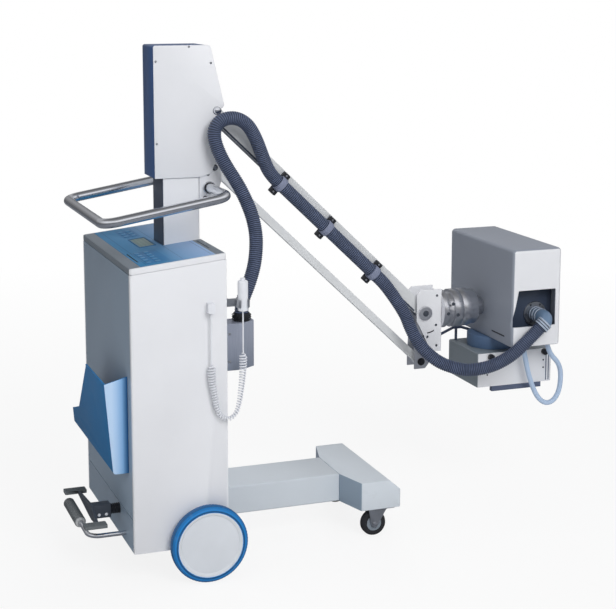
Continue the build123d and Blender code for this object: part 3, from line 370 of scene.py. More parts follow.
def block(size, edge, name, segments=2):
    """A box about the origin with rounded edges, lying on its lowest face."""
    work = bmesh.new()
    bmesh.ops.create_cube(work, size=1.0)
    bmesh.ops.scale(work, vec=size, verts=work.verts)
    bmesh.ops.translate(work, vec=(0, 0, size[2] / 2), verts=work.verts)
    bmesh.ops.bevel(work, geom=work.edges[:], offset=edge, segments=segments, affect="EDGES", profile=0.5)
    return mesh_of(work, name, 40)


def stand(origin, up):
    """A matrix that stands a shape at a point, with its Z along a direction and its X toward the frame's."""
    z, ahead = Vector(up).normalized(), Vector((1, 0, 0))
    x = ahead - z * ahead.dot(z)
    x = x.normalized() if x.length > 1e-6 else z.orthogonal().normalized()
    y = z.cross(x)
    return Matrix.Translation(Vector(origin)) @ Matrix((x, y, z)).transposed().to_4x4()


def placed(mesh, origin, up):
    """The same mesh, stood at a point with its Z along a direction."""
    mesh.transform(stand(origin, up))
    return mesh


def joined(name, parts):
    """One mesh from copies of several, each moved by its own matrix."""
    work = bmesh.new()
    for mesh, matrix in parts:
        lone = mesh.copy()
        lone.transform(matrix)
        work.from_mesh(lone)
        bpy.data.meshes.remove(lone)
    return mesh_of(work, name, 40)


PLACING = "Place on spots"


def placing_tree():
    """Geometry nodes that set one shape on every vertex, turned and sized by its attributes."""
    tree = bpy.data.node_groups.new(PLACING, "GeometryNodeTree")
    inputs = (("Spots", "Geometry"), ("Shape", "Object"), ("Finish", "Material"), ("Size", "Float"))
    for name, kind in inputs:
        tree.interface.new_socket(name=name, in_out="INPUT", socket_type=f"NodeSocket{kind}")
    tree.interface.new_socket(name="Geometry", in_out="OUTPUT", socket_type="NodeSocketGeometry")
    graph = Graph(tree)
    start = graph.node("NodeGroupInput").outputs
    spots, shape, finish, size = (Sock(graph, start[name]) for name, _ in inputs)
    up, across, scale = (
        graph.out("GeometryNodeInputNamedAttribute", {"data_type": "FLOAT_VECTOR"}, {"Name": name})
        for name in ("up", "across", "scale")
    )
    align = "FunctionNodeAlignRotationToVector"
    turn = graph.out(align, {"axis": "Z"}, {"Vector": up})
    turn = graph.out(align, {"axis": "X", "pivot_axis": "Z"}, {"Rotation": turn, "Vector": across})
    grown = graph.out("ShaderNodeVectorMath", {"operation": "SCALE"}, {0: scale, "Scale": size})
    form = graph.out("GeometryNodeObjectInfo", {}, {"Object": shape}, "Geometry")
    sockets = {"Points": spots, "Instance": form, "Rotation": turn, "Scale": grown}
    many = graph.out("GeometryNodeInstanceOnPoints", {}, sockets)
    real = graph.out("GeometryNodeRealizeInstances", {}, {0: many})
    coated = graph.out("GeometryNodeSetMaterial", {}, {"Geometry": real, "Material": finish})
    graph.node("NodeGroupOutput", {}, {0: coated})
    return tree


def settled(*items):
    """The evaluated mesh of the first of some new objects. They are removed after it is taken."""
    for item in items:
        bpy.context.scene.collection.objects.link(item)
    bpy.context.view_layer.update()
    seen = bpy.context.evaluated_depsgraph_get()
    mesh = bpy.data.meshes.new_from_object(items[0].evaluated_get(seen), depsgraph=seen)
    for item in items:
        bpy.data.objects.remove(item)
    return mesh


def repeat(name, shape, spots, body, finish, size=1.0):
    """Sets a shape on spots (place, up, across, and a scale if any) by geometry nodes, as one mesh."""
    mesh = bpy.data.meshes.new(name)
    mesh.from_pydata([spot[0] for spot in spots], [], [])
    for index, key in ((1, "up"), (2, "across"), (3, "scale")):
        layer = mesh.attributes.new(key, "FLOAT_VECTOR", "POINT")
        for row, spot in zip(layer.data, spots):
            row.vector = (*spot, (1, 1, 1))[index]
    holder = bpy.data.objects.new(name + "_spots", mesh)
    sample = bpy.data.objects.new(name + "_shape", shape)
    modifier = holder.modifiers.new("repeat", "NODES")
    modifier.node_group = bpy.data.node_groups.get(PLACING) or placing_tree()
    chosen = {"Shape": sample, "Finish": finish_of(finish), "Size": size}
    for socket in modifier.node_group.interface.items_tree:
        if socket.name in chosen:
            modifier[socket.identifier] = chosen[socket.name]
    real = settled(holder, sample)
    real.name = name
    if not real.materials:
        real.materials.append(finish_of(finish))
    return piece(name, real, body)


def screw_shape():
    """A low round-edged screw head with a socket, of one metre's radius."""
    profile = [(0, 0.10), (0.42, 0.10), (0.46, 0.42), (0.78, 0.40), (0.95, 0.26), (1.0, 0.08), (1.0, -0.25)]
    return turned(profile, 12, "screw")


def screws(name, places, up, radius, body, finish):
    """Screw heads at places that all face one way."""
    side = (0, 0, 1) if abs(up[2]) < 0.9 else (1, 0, 0)
    return repeat(name, screw_shape(), [(p, up, side) for p in places], body, finish, radius)


def side_screws(name, out, points, radius, body, finish):
    """Screw heads at the same (x, z) points of both sides, a distance out from the middle plane."""
    for side_name, side in SIDES:
        places = [(x, side * out, z) for x, z in points]
        screws(f"{name}_{side_name}", places, (0, side, 0), radius, body, finish)


def route_curve(name, points, radius=0.0, sides=4):
    """A smooth cord along a route of points, or its bare line without a radius."""
    curve = bpy.data.curves.new(name, "CURVE")
    curve.dimensions = "3D"
    spline = curve.splines.new("NURBS")
    spline.points.add(len(points) - 1)
    for knot, point in zip(spline.points, points):
        knot.co = (*point, 1.0)
    spline.order_u = 3
    spline.use_endpoint_u = True
    curve.resolution_u = 8
    curve.bevel_depth = radius
    curve.bevel_resolution = sides
    curve.use_fill_caps = True
    return curve


def centreline(points, step):
    """Even points along the smooth line of a route, and the line's length."""
    curve = route_curve("line", points)
    curve.resolution_u = 24
    mesh = settled(bpy.data.objects.new("line", curve))
    line = [vertex.co.copy() for vertex in mesh.vertices]
    bpy.data.meshes.remove(mesh)
    spans = [(b - a).length for a, b in zip(line, line[1:])]
    total = sum(spans)
    count = max(2, round(total / step))
    even, index, passed = [], 0, 0.0
    for i in range(count + 1):
        goal = total * i / count
        while index < len(spans) - 1 and passed + spans[index] < goal:
            passed += spans[index]
            index += 1
        share = 0.0 if spans[index] < 1e-9 else (goal - passed) / spans[index]
        even.append(line[index].lerp(line[index + 1], min(1.0, share)))
    return even, total


def carried_frames(line):
    """Two directions square to a line at each of its points, turned as little as possible."""
    frames = []
    tangent = (line[1] - line[0]).normalized()
    normal = tangent.orthogonal().normalized()
    for i in range(len(line)):
        ahead = line[min(i + 1, len(line) - 1)] - line[max(i - 1, 0)]
        new = ahead.normalized()
        normal = (tangent.rotation_difference(new) @ normal).normalized()
        normal = (normal - new * normal.dot(new)).normalized()
        frames.append((normal, new.cross(normal)))
        tangent = new
    return frames


def tube(name, line, radii, sides, ridge=None):
    """A closed tube along a line, with a radius at each point and a ridge attribute."""
    work = bmesh.new()
    layer = work.verts.layers.float.new("ridge")
    rings = []
    for i, (point, (u, v)) in enumerate(zip(line, carried_frames(line))):
        ring = []
        for k in range(sides):
            angle = 2 * math.pi * k / sides
            vertex = work.verts.new(point + (u * math.cos(angle) + v * math.sin(angle)) * radii[i])
            vertex[layer] = ridge[i] if ridge else 0.0
            ring.append(vertex)
        rings.append(ring)
    for low, high in zip(rings, rings[1:]):
        join_rings(work, low, high)
    work.faces.new(reversed(rings[0]))
    work.faces.new(rings[-1])
    bmesh.ops.recalc_face_normals(work, faces=work.faces)
    return mesh_of(work, name, 70)


def rail_line(points, bend):
    """A bent rail's centre line: straight runs joined by round bends."""
    points, parts = [Vector(point) for point in points], 10
    line = [points[0]]
    for before, corner, after in zip(points, points[1:], points[2:]):
        into, away = (corner - before).normalized(), (after - corner).normalized()
        turn = into.angle(away)
        inward = (away - into * into.dot(away)).normalized()
        centre = corner - into * bend * math.tan(turn / 2) + inward * bend
        for k in range(parts + 1):
            angle = turn * k / parts
            line.append(centre - inward * bend * math.cos(angle) + into * bend * math.sin(angle))
    return line + [points[-1]]


def bent_rail(name, points, bend, radius, body, finish):
    """A round rail of one thickness along a bent line."""
    line = rail_line(points, bend)
    return piece(name, tube(name, line, [radius] * len(line), 40), body, finish)


# What a user sets


def colour_field(name, description, *value):
    """A colour, with its default as it is read on a screen."""
    return bpy.props.FloatVectorProperty(
        name=name, description=description, subtype="COLOR", min=0, max=1, default=srgb(*value)
    )


def length_field(name, description, default):
    """A length in metres."""
    return bpy.props.FloatProperty(
        name=name, description=description, subtype="DISTANCE", unit="LENGTH", default=default
    )


class FinishColours(bpy.types.PropertyGroup):
    """Colours that a user would change."""

    white: colour_field("White", "Enamel of the panels", 228, 229, 233)
    # painted shade: this slate is partly the rear panels' own blue-grey and partly painted shade of faces
    # that look backward
    slate: colour_field("Slate", "Enamel of the rear panels", 144, 161, 178)
    cover: colour_field("Cover grey", "Covers of the head and collimator", 145, 151, 163)
    blue: colour_field("Blue", "Tyres", 15, 111, 178)
    navy: colour_field("Navy", "Back of the mast's cover", 54, 88, 140)
    hose: colour_field("Hose", "Corrugated hose", 72, 82, 106)


class HoseSizes(bpy.types.PropertyGroup):
    """Sizes of the hoses and cords."""

    pitch: length_field("Rib pitch", "Distance between two ribs of the hose", 0.0052)
    depth: length_field("Rib depth", "How far a groove lies under a rib", 0.0018)
    turns: bpy.props.IntProperty(
        name="Coil turns", description="Turns of the hand switch's curly cord", default=50, min=8
    )


class WheelSizes(bpy.types.PropertyGroup):
    """Sizes of the treads."""

    grooves: bpy.props.IntProperty(name="Grooves", description="Grooves round a rear tyre", default=72, min=8)
    ribs: bpy.props.IntProperty(name="Grip ribs", description="Ribs along the foot grip", default=22, min=4)


class StageSizes(bpy.types.PropertyGroup):
    """The floor and the lamps."""

    lamp: bpy.props.FloatProperty(
        name="Key lamp", description="Power of the key lamp", subtype="POWER", unit="POWER", default=135.0
    )
    sky: bpy.props.FloatProperty(name="Sky", description="Light from all round", default=0.38, min=0)


# Finishes


def colours():
    """The colours that the user has set."""
    return bpy.context.scene.xray_colours


def chrome_plate():
    """Bright plating: an even skin, with a faint haze in its gloss."""
    finish = Finish("chrome_plate", metallic=1.0)
    haze = finish.noise(5.0, 2.0)
    return finish.coat(finish.mix(haze, (0.66, 0.68, 0.72), (0.72, 0.74, 0.77)), 0.12 + 0.05 * haze)


def arm_enamel():
    """The bars' smooth enamel, with a slight mottle."""
    finish = Finish("arm_enamel")
    mottle = finish.noise(9.0, 3.0)
    return finish.coat(finish.mix(mottle, srgb(210, 212, 214), srgb(218, 220, 222)), 0.38 + 0.1 * mottle)


def lit_blue_sheet():
    """The box's end plates, painted lit: a pale painted reflection toward the outer edge, and painted shade
    of deep blue in the bend beside the cabinet.
    """
    finish = Finish("pale_blue_sheet", specular_ior_level=0.3)
    x = finish.axes()[0]
    # painted reflection: pale toward the outer edge, fading to a mid blue
    tint = finish.mix(x.ramp(REAR - 0.040, REAR - 0.012), srgb(190, 216, 245), srgb(126, 176, 224))
    # painted shade: deep blue in the bend beside the cabinet
    tint = finish.mix(x.ramp(REAR - 0.014, REAR - 0.001), tint, srgb(28, 92, 150))
    return finish.coat(tint, 0.38 + 0.1 * finish.noise(12.0), finish.noise(1500.0), 0.00002)


def blue_sheet():
    """The box's blue enamel, a little darker toward its foot."""
    finish = Finish("blue_sheet", specular_ior_level=0.25)
    z = finish.axes()[2]
    deep = srgb(27, 114, 172)
    cloud = finish.noise(6.0, 2.0)
    height = (z.ramp(0.30, 0.53) + 0.3 * (cloud - 0.5)).ramp(0.0, 1.0)
    tint = finish.mix(height, shade(deep, 0.84), shade(deep, 1.12))
    return finish.coat(tint, 0.46 + 0.1 * (cloud - 0.5), finish.noise(1500.0), 0.00002)


def deck_plastic():
    """The deck's moulding: grey on top, and white where it meets the side panels."""
    finish = Finish("deck_plastic")
    y = finish.axes()[1]
    cloud = finish.noise(14.0, 4.0)
    grey = finish.mix(cloud, srgb(112, 121, 130), srgb(122, 131, 140))
    tint = finish.mix(y.maths("ABSOLUTE").above(0.2655), grey, tuple(colours().white))
    return finish.coat(tint, 0.50 + 0.12 * (cloud - 0.5), finish.noise(2600.0), 0.00004)


def tyre_rubber():
    """Blue rubber: a pale line at the rim, painted shade beside it and over the tread, and a painted
    highlight band along the shoulder.
    """
    finish = Finish("blue_rubber")
    blue = tuple(colours().blue)
    x, _, z = finish.axes()
    x, z = x - WHEEL_X, z - WHEEL_RADIUS
    reach = (x * x + z * z).maths("SQRT")
    dust = finish.noise(40.0, 3.0)
    # painted shade: a dark line beside the rim
    tint = finish.mix(reach.near(0.0878, 0.0016), blue, shade(blue, 0.45))
    # painted highlight: a paler band along the shoulder
    tint = finish.mix(reach.near(0.0922, 0.0014), tint, shade(blue, 1.25))
    # painted shade: the tread darker
    tint = finish.mix(reach.above(0.0982), tint, shade(blue, 0.62))
    tint = finish.mix(reach.near(0.0830, 0.0013), tint, srgb(206, 220, 236))
    tint = finish.mix(dust.ramp(0.55, 0.85) * 0.25, tint, srgb(120, 150, 180))
    return finish.coat(tint, 0.48 + 0.16 * (dust - 0.5), finish.noise(1800.0), 0.00005)


def brushed_sheet():
    """The holder's steel, brushed upright."""
    finish = Finish("brushed_steel", metallic=0.35)
    lines = finish.noise(1100.0, 3.0, (1, 1, 0.02))
    z = finish.axes()[2]
    tint = finish.mix(lines, srgb(136, 143, 162), srgb(178, 184, 198))
    tint = finish.mix(z.ramp(0.60, 0.53) * 0.5, tint, srgb(118, 130, 146))
    return finish.coat(tint, 0.38 + 0.12 * lines, lines, 0.00002)


def panel_sheet():
    """The control panel's film: blue, paler toward the front, with fields and lines printed on it."""
    finish = Finish("panel_film", specular_ior_level=0.3)
    x, y, _ = finish.axes()
    x = x - REAR
    tint = finish.mix(x.ramp(0.10, 0.21), srgb(56, 126, 172), srgb(146, 180, 222))
    near_field = x.near(0.082, 0.030) * y.near(-0.165, 0.078)
    far_field = x.near(0.102, 0.024) * y.near(0.175, 0.060)
    tint = finish.mix((near_field + far_field) * 0.45, tint, srgb(46, 104, 158))
    middle = y.near(0.0, 0.250)
    lines = x.near(0.0475, 0.0006) * middle + x.near(0.1400, 0.0005) * middle + x.near(0.212, 0.0006) * middle
    tint = finish.mix(lines * 0.8, tint, srgb(24, 60, 104))
    return finish.coat(tint, 0.44 + 0.08 * finish.noise(20.0), finish.noise(1900.0), 0.00002)


def lcd_glass():
    """A resting liquid crystal display: a dull olive, with the ghosts of its unlit bars."""
    finish = Finish("lcd_glass", specular_ior_level=0.3)
    x, y, _ = finish.axes()
    rows = ((x - REAR) * 90.0).maths("FRACT").near(0.5, 0.30)
    bars = (y * 70.0).maths("FRACT").near(0.5, 0.34)
    tint = finish.mix(rows * bars * 0.6, srgb(122, 142, 140), srgb(100, 118, 118))
    return finish.coat(tint, 0.46 + 0.05 * finish.noise(30.0))


def hose_skin():
    """Corrugated hose: grooves near black as painted shade, ribs pale as painted highlight, and rib tops
    paler in patches, partly dust and partly painted highlight.
    """
    finish = Finish("hose_skin")
    base = tuple(colours().hose)
    ridge = finish.out("ShaderNodeAttribute", {"attribute_name": "ridge"}, output="Fac")
    dust = finish.noise(40.0, 4.0)
    # painted shade in the grooves, painted highlight on the ribs
    tint = finish.mix(ridge, shade(base, 0.16), shade(base, 1.25))
    # rib tops paler in patches: partly dust and rubbing, partly painted highlight
    tint = finish.mix(ridge.ramp(0.7, 1.0) * dust.ramp(0.42, 0.75) * 0.55, tint, shade(base, 2.3))
    return finish.coat(tint, 0.50 + 0.16 * (dust - 0.5), finish.noise(2200.0), 0.00003)


def window_glass():
    """The collimator's clear window, with its cross lines."""
    finish = Finish("window_acrylic", coat_weight=0.5, coat_roughness=0.05)
    x, y, _ = finish.axes()
    cross = x.near(ARM_END.x + 0.2525, 0.0006) + y.near(0.0, 0.0006)
    tint = finish.mix(cross.maths("MINIMUM", 1.0), srgb(150, 170, 180), srgb(12, 14, 16))
    return finish.coat(tint, 0.10 + 0.05 * finish.noise(18.0))


def floor_paper():
    """Pale studio paper: white to the eye, darker in mirrors, with the shadow of what stands on it."""
    finish = Finish("studio_paper")
    x, y, _ = finish.axes()
    paths = finish.node("ShaderNodeLightPath")
    mirrored = Sock(finish, paths.outputs["Is Glossy Ray"])
    grain = finish.noise(300.0, 2.0)
    paper = finish.mix(grain, (0.78, 0.78, 0.78), (0.82, 0.82, 0.82))
    material = finish.coat(finish.mix(mirrored, paper, (0.26, 0.27, 0.30)), 0.9 + 0.05 * finish.noise(3.0))
    glow = finish.out("ShaderNodeEmission", {}, {"Color": (1, 1, 1), "Strength": 1.0})
    far = (x * x + y * y).ramp(1.2, 16.0)
    seen = Sock(finish, paths.outputs["Is Camera Ray"]) * (0.86 + 0.14 * far)
    paper = Sock(finish, finish.shader.outputs[0])
    both = finish.out("ShaderNodeMixShader", {}, {0: seen, 1: paper, 2: glow})
    finish.feed(finish.tree.nodes["Material Output"].inputs[0], both)
    return material


# A plain finish is its material's name, its colour (one of the user's, or as it is read on a screen),
# its roughness and its grain, then the wear of an enamel or the depth of a moulding's grain.

ENAMELS = {
    "white": ("white_enamel", "white"),
    "base_white": ("base_enamel", (207, 214, 221), 0.44, 700.0, 0.10),
    # painted shade: partly the rear panels' own blue-grey, partly painted shade
    "slate": ("slate_enamel", "slate", 0.40),
    "dark_slate": ("dark_slate_enamel", (58, 68, 86), 0.42),
    "grey": ("cover_enamel", "cover", 0.40),
    "grey_dark": ("collimator_enamel", (122, 131, 138), 0.42),
    "navy": ("navy_enamel", "navy", 0.34),
    "rail": ("rail_enamel", (84, 94, 118), 0.42),
    "chassis": ("chassis_enamel", (120, 124, 130), 0.5),
}
MOULDINGS = {
    "hub": ("hub_plastic", (214, 218, 224), 0.42),
    "hub_grey": ("caster_hub", (128, 138, 148), 0.45),
    "black": ("black_plastic", (26, 28, 34), 0.42),
    "dark": ("dark_casting", (62, 68, 78), 0.5),
    "rubber": ("black_rubber", (34, 36, 40), 0.72, 1400.0, 0.0001),
    "pad": ("pad_rubber", (102, 107, 110), 0.6, 1400.0, 0.00008),
    "grip": ("grip_rubber", (184, 186, 188), 0.6, 1400.0, 0.00008),
    "strap": ("strap_nylon", (124, 131, 154), 0.5),
    "steel_blue": ("fitting_plastic", (104, 128, 156), 0.4),
    "steel_pale": ("fitting_nut", (172, 184, 202), 0.34),
    "ring_blue": ("ring_plastic", (80, 104, 136), 0.4),
    "cable_blue": ("cable_sheath", (176, 196, 222), 0.42),
    "cord_white": ("cord_sheath", (226, 228, 234), 0.46),
    "key": ("key_film", (70, 134, 180), 0.5),
    "key_dark": ("key_frame", (44, 102, 150), 0.5),
}
OWN_FINISHES = {
    "deck": deck_plastic,
    "blue": blue_sheet,
    "light_blue": lit_blue_sheet,
    "tyre": tyre_rubber,
    "chrome": chrome_plate,
    "zinc": lambda: metal("zinc_plate", (0.50, 0.52, 0.55), 0.34, 420.0),
    "satin": lambda: metal("satin_alloy", (0.72, 0.73, 0.76), 0.30, 1600.0, (1, 0.04, 0.04)),
    "brushed": brushed_sheet,
    "bar": arm_enamel,
    "panel": panel_sheet,
    "lcd": lcd_glass,
    "hose": hose_skin,
    "glass": window_glass,
    "floor": floor_paper,
}
made_finishes = {}


def finish_of(name):
    """The material of a finish, made when it is first asked for."""
    if name not in made_finishes:
        if name in OWN_FINISHES:
            made_finishes[name] = OWN_FINISHES[name]()
        else:
            maker, table = (paint, ENAMELS) if name in ENAMELS else (moulded, MOULDINGS)
            title, shown, *rest = table[name]
            chosen = tuple(getattr(colours(), shown)) if isinstance(shown, str) else srgb(*shown)
            made_finishes[name] = maker(title, chosen, *rest)
    return made_finishes[name]


# Pieces


class Builder(bpy.types.Operator):
    """Shared ground of the piece operators."""

    bl_options = {"REGISTER", "UNDO"}

    def execute(self, context):
        self.build()
        return {"FINISHED"}


class XRAY_OT_cabinet(Builder):
    """Paint the cabinet's panels, with their screws and louvres"""

    bl_idname = "xray.cabinet"
    bl_label = "Cabinet"

    def build(self):
        dress("cabinet_sides", "white", edge=0.0012)
        # painted shade: the rear panels wear a slate that is partly their own blue-grey, partly painted shade
        dress("cabinet_rear_upper", "slate")
        dress("cabinet_rear_lower", "slate")
        dress("cabinet_front", "white")
        dress("chassis", "chassis", edge=0.0005)
        dress("rear_axle", "zinc", edge=0.0005)
        dress("power_unit", "dark_slate")
        rear = [(REAR, side * 0.252, z) for side in (-1, 1) for z in (0.100, 0.158, 0.186, 0.480, 0.780)]
        screws("rear_screws", rear, (-1, 0, 0), 0.0034, "cart", "slate")
        front = [(FRONT, side * 0.252, z) for side in (-1, 1) for z in (0.100, 0.280, 0.460, 0.640, 0.800)]
        screws("front_screws", front, (1, 0, 0), 0.0034, "cart", "zinc")
        slat = louvre_shape(0.150, 0.010, 0.0035)
        spots = [
            ((FRONT, side * 0.140, 0.330 + 0.020 * row), (1, 0, 0), (0, 1, 0))
            for side in (-1, 1)
            for row in range(9)
        ]
        repeat("front_louvres", slat, spots, "cart", "white")
        spots = [((REAR + 0.123, 0.272, 0.250 + 0.020 * row), (0, 1, 0), (1, 0, 0)) for row in range(8)]
        repeat("side_louvres", slat, spots, "cart", "white")


def louvre_shape(width, height, depth):
    """A pressed louvre: a hood that is open below, standing on a panel."""
    work = bmesh.new()
    sections = []
    for share in (-0.5, -0.46, -0.40, 0.40, 0.46, 0.5):
        rise = {0.5: 0.0, 0.46: 0.75, 0.40: 1.0}[abs(share)]
        arc = []
        for k in range(6):
            angle = math.pi / 2 * k / 5
            out = depth * rise * (1 - math.cos(angle))
            arc.append(work.verts.new((share * width, height * 0.5 - height * math.sin(angle) * 0.98, out)))
        sections.append(arc)
    for a, b in zip(sections, sections[1:]):
        for k in range(5):
            work.faces.new((a[k], b[k], b[k + 1], a[k + 1]))
    edge = [section[-1] for section in sections]
    foot = [work.verts.new((v.co.x, v.co.y, -0.0004)) for v in edge]
    for i in range(len(edge) - 1):
        work.faces.new((edge[i], edge[i + 1], foot[i + 1], foot[i]))
    bmesh.ops.recalc_face_normals(work, faces=work.faces)
    if sum(f.normal.z for f in work.faces) < 0:
        bmesh.ops.reverse_faces(work, faces=work.faces)
    return mesh_of(work, "louvre", 50)


class XRAY_OT_deck(Builder):
    """Finish the deck, the control panel's film, its display and its keys"""

    bl_idname = "xray.deck"
    bl_label = "Deck and control panel"

    def build(self):
        dress("top_deck", "deck", edge=0.0010)
        dress("control_panel", "panel", edge=0.0004)
        dress("display", "lcd", edge=0.0004)
        slope = math.atan2(DECK_RISE, DEPTH)
        along = Vector((math.cos(slope), 0, math.sin(slope)))
        up = Vector((-math.sin(slope), 0, math.cos(slope)))

        def on_deck(x, y, lift=0.0):
            return Vector((REAR, y, DECK_Z)) + along * x + up * lift

        keys = [(x, y) for x in (0.060, 0.084) for y in (-0.225, -0.195, -0.165, -0.135, -0.105)]
        keys += [(x, y) for x in (0.092, 0.112) for y in (0.140, 0.175, 0.210)]
        surround = block((0.0215, 0.0155, 0.0004), 0.00018, "key_frame", 1)
        spots = [(on_deck(x, y, 0.00002), up, (0, 1, 0)) for x, y in keys]
        repeat("key_frames", surround, spots, "cart", "key_dark")
        key = block((0.0185, 0.0125, 0.0008), 0.0003, "key")
        spots = [(on_deck(x, y, 0.0002), up, (0, 1, 0)) for x, y in keys]
        repeat("keys", key, spots, "cart", "key")
        bezel = rim_shape(0.128, 0.046, 0.0035, 0.0012)
        repeat("display_bezel", bezel, [(on_deck(0.107, 0.028), up, (0, 1, 0))], "cart", "key_dark")


def rim_shape(width, height, border, lift):
    """A flat frame with an open middle."""
    work = bmesh.new()
    loops = []
    foot, shoulder, soft = -0.0002, lift * 0.8, 0.0006
    section = (
        (0, foot), (0, shoulder), (-soft, lift),
        (-border + soft, lift), (-border, shoulder), (-border, foot),
    )
    for grow, z in section:
        w, h = width / 2 + grow, height / 2 + grow
        loops.append([work.verts.new((x * w, y * h, z)) for x, y in ((-1, -1), (1, -1), (1, 1), (-1, 1))])
    for inner, outer in zip(loops, loops[1:] + loops[:1]):
        join_rings(work, inner, outer)
    bmesh.ops.recalc_face_normals(work, faces=work.faces)
    return mesh_of(work, "rim", 30)


class XRAY_OT_mast(Builder):
    """Paint the mast, its head and its cover, with their bolts"""

    bl_idname = "xray.mast"
    bl_label = "Mast and cover"

    def build(self):
        dress("mast", "white", "dark_slate", edge=0.001, tone=lambda c, n: int(n.x < -0.7))
        dress("mast_head", "white")
        dress("cover_sides", "white", edge=0.001)
        dress("cover_wrap", "navy", edge=0.001)
        heads = ((0.217, 1.336), (0.275, 1.294), (0.129, 1.090), (0.129, 1.300))
        side_screws("cover_screws", 0.056, [(REAR + x, z) for x, z in heads], 0.0030, "cart", "zinc")
        profile = [
            (0, 0.0085), (0.004, 0.0083), (0.0075, 0.0065), (0.0094, 0.003),
            (0.0096, 0.0), (0.0125, -0.0004), (0.0125, -0.002),
        ]
        bolts = ((0.284, 1.0225, 1.0), (0.2655, 1.005, 0.45), (0.257, 0.944, 0.75))
        for name, side in SIDES:
            knob = turned(profile, 32, "pivot_knob")
            knob = placed(knob, (PIVOT.x, side * 0.0562, PIVOT.z + 0.003), (0, side, 0))
            piece(f"pivot_knob_{name}", knob, "cart", "chrome")
            spots = [
                ((REAR + x, side * 0.0525, z), (0, side, 0), (0, 0, 1), (size, size, size))
                for x, z, size in bolts
            ]
            repeat(f"head_washers_{name}", washer_shape(), spots, "cart", "dark", 0.0082)
            repeat(f"head_bolts_{name}", bolt_shape(), spots, "cart", "zinc", 0.0050)


def bolt_shape():
    """A hexagon bolt head on its washer, of one metre's radius."""
    washer = turned([(1.35, -0.05), (1.35, 0.18), (1.28, 0.24), (0, 0.24)], 20, "washer")
    head = turned([(1.0, 0.2), (1.0, 0.72), (0.86, 0.86), (0, 0.86)], 6, "hexagon")
    return joined("bolt", ((washer, Matrix()), (head, Matrix())))


def washer_shape():
    """A flat ring of one metre's radius."""
    profile = [(0.55, 0.0), (1.0, 0.0), (1.0, 0.10), (0.94, 0.16), (0.55, 0.16), (0.55, 0.0)]
    return turned(profile, 24, "washer")


def ring_shape(radius, wire, steps=28, sides=8):
    """A round ring of wire about +Z."""
    profile = [
        (radius + wire * math.cos(a), wire * math.sin(a))
        for a in (2 * math.pi * k / sides for k in range(sides + 1))
    ]
    return turned(profile, steps, "ring")


class XRAY_OT_handle(Builder):
    """Plate the push handle and its flanges"""

    bl_idname = "xray.handle"
    bl_label = "Push handle"

    def build(self):
        front, rear, half, end = HANDLE_X, REAR - 0.052, 0.231, 0.0525
        high, low = HANDLE_Z, 0.917
        corners = [
            (front, -end, high), (front, -half, high), (rear, -half, low),
            (rear, half, low), (front, half, high), (front, end, high),
        ]
        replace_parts(bent_rail("handle_tube", corners, 0.038, 0.0125, "cart", "chrome"), "handle")
        dress("handle_flanges", "chrome", edge=0.0012)
        angles = [math.pi / 4 + k * math.pi / 2 for k in range(4)]
        places = [(front + 0.0148 * math.cos(a), high + 0.0148 * math.sin(a)) for a in angles]
        side_screws("flange_screws", 0.0585, places, 0.0016, "cart", "zinc")
        for name, side in SIDES:
            collar = placed(ring_shape(0.0136, 0.0010, 40), (front, side * 0.0590, high), (0, side, 0))
            piece(f"flange_collar_{name}", collar, "cart", "black")


class XRAY_OT_cassette_box(Builder):
    """Finish the cassette box, with painted light on its end plates"""

    bl_idname = "xray.cassette_box"
    bl_label = "Cassette box"

    def build(self):
        # painted light: faces that look to the sides wear the paler, painted lit blue
        dress("cassette_box", "blue", "light_blue", edge=0.0010, tone=lambda c, n: int(abs(n.y) > 0.7))


class XRAY_OT_foot(Builder):
    """Paint the base beam and the crossbar"""

    bl_idname = "xray.foot"
    bl_label = "Foot"

    def build(self):
        dress("base_beam", "base_white", edge=0.0015)
        # painted shade: the crossbar's backward faces wear the slate in place of its white enamel
        dress("base_crossbar", "base_white", "slate", edge=0.0020, tone=lambda c, n: int(n.x < -0.7))


class XRAY_OT_casters(Builder):
    """Finish the casters: plates, forks, tyres with their hubs and nuts"""

    bl_idname = "xray.casters"
    bl_label = "Casters"

    def build(self):
        dress("caster_plates", "zinc", edge=0.0006)
        for name, side in SIDES:
            fork, roller = f"caster_{name}", f"caster_roller_{name}"
            dress(f"caster_fork_{name}", "zinc", edge=0.0006)
            x, y, z = CASTER_X, side * CASTER_OUT, CASTER_RADIUS
            half = [
                (0.0045, 0.0119), (0.011, 0.0119), (0.0125, 0.0105), (0.021, 0.0100),
                (0.0225, 0.0115), (0.030, 0.0117), (0.0335, 0.0095), (0.0350, 0.0055),
            ]
            wheel = placed(turned(both_faces(half), 56, "caster_tyre"), (x, y, z), (0, side, 0))
            made = piece(f"caster_tyre_{name}", wheel, roller, "rubber", "hub_grey")
            for face in wheel.polygons:
                reach = math.hypot(face.center.x - x, face.center.z - z)
                face.material_index = int(reach < 0.0215)
            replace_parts(made, f"caster_wheel_{name}")
            nuts = [((x, y + out * 0.0166, z), (0, out, 0), (0, 0, 1)) for out in (-1, 1)]
            repeat(f"caster_nuts_{name}", bolt_shape(), nuts, fork, "zinc", 0.0045)
            plate = [(REAR + 0.716 + dx, y + dy, 0.0800) for dx in (-0.030, 0.030) for dy in (-0.024, 0.024)]
            screws(f"plate_screws_{name}", plate, (0, 0, -1), 0.0036, "cart", "zinc")


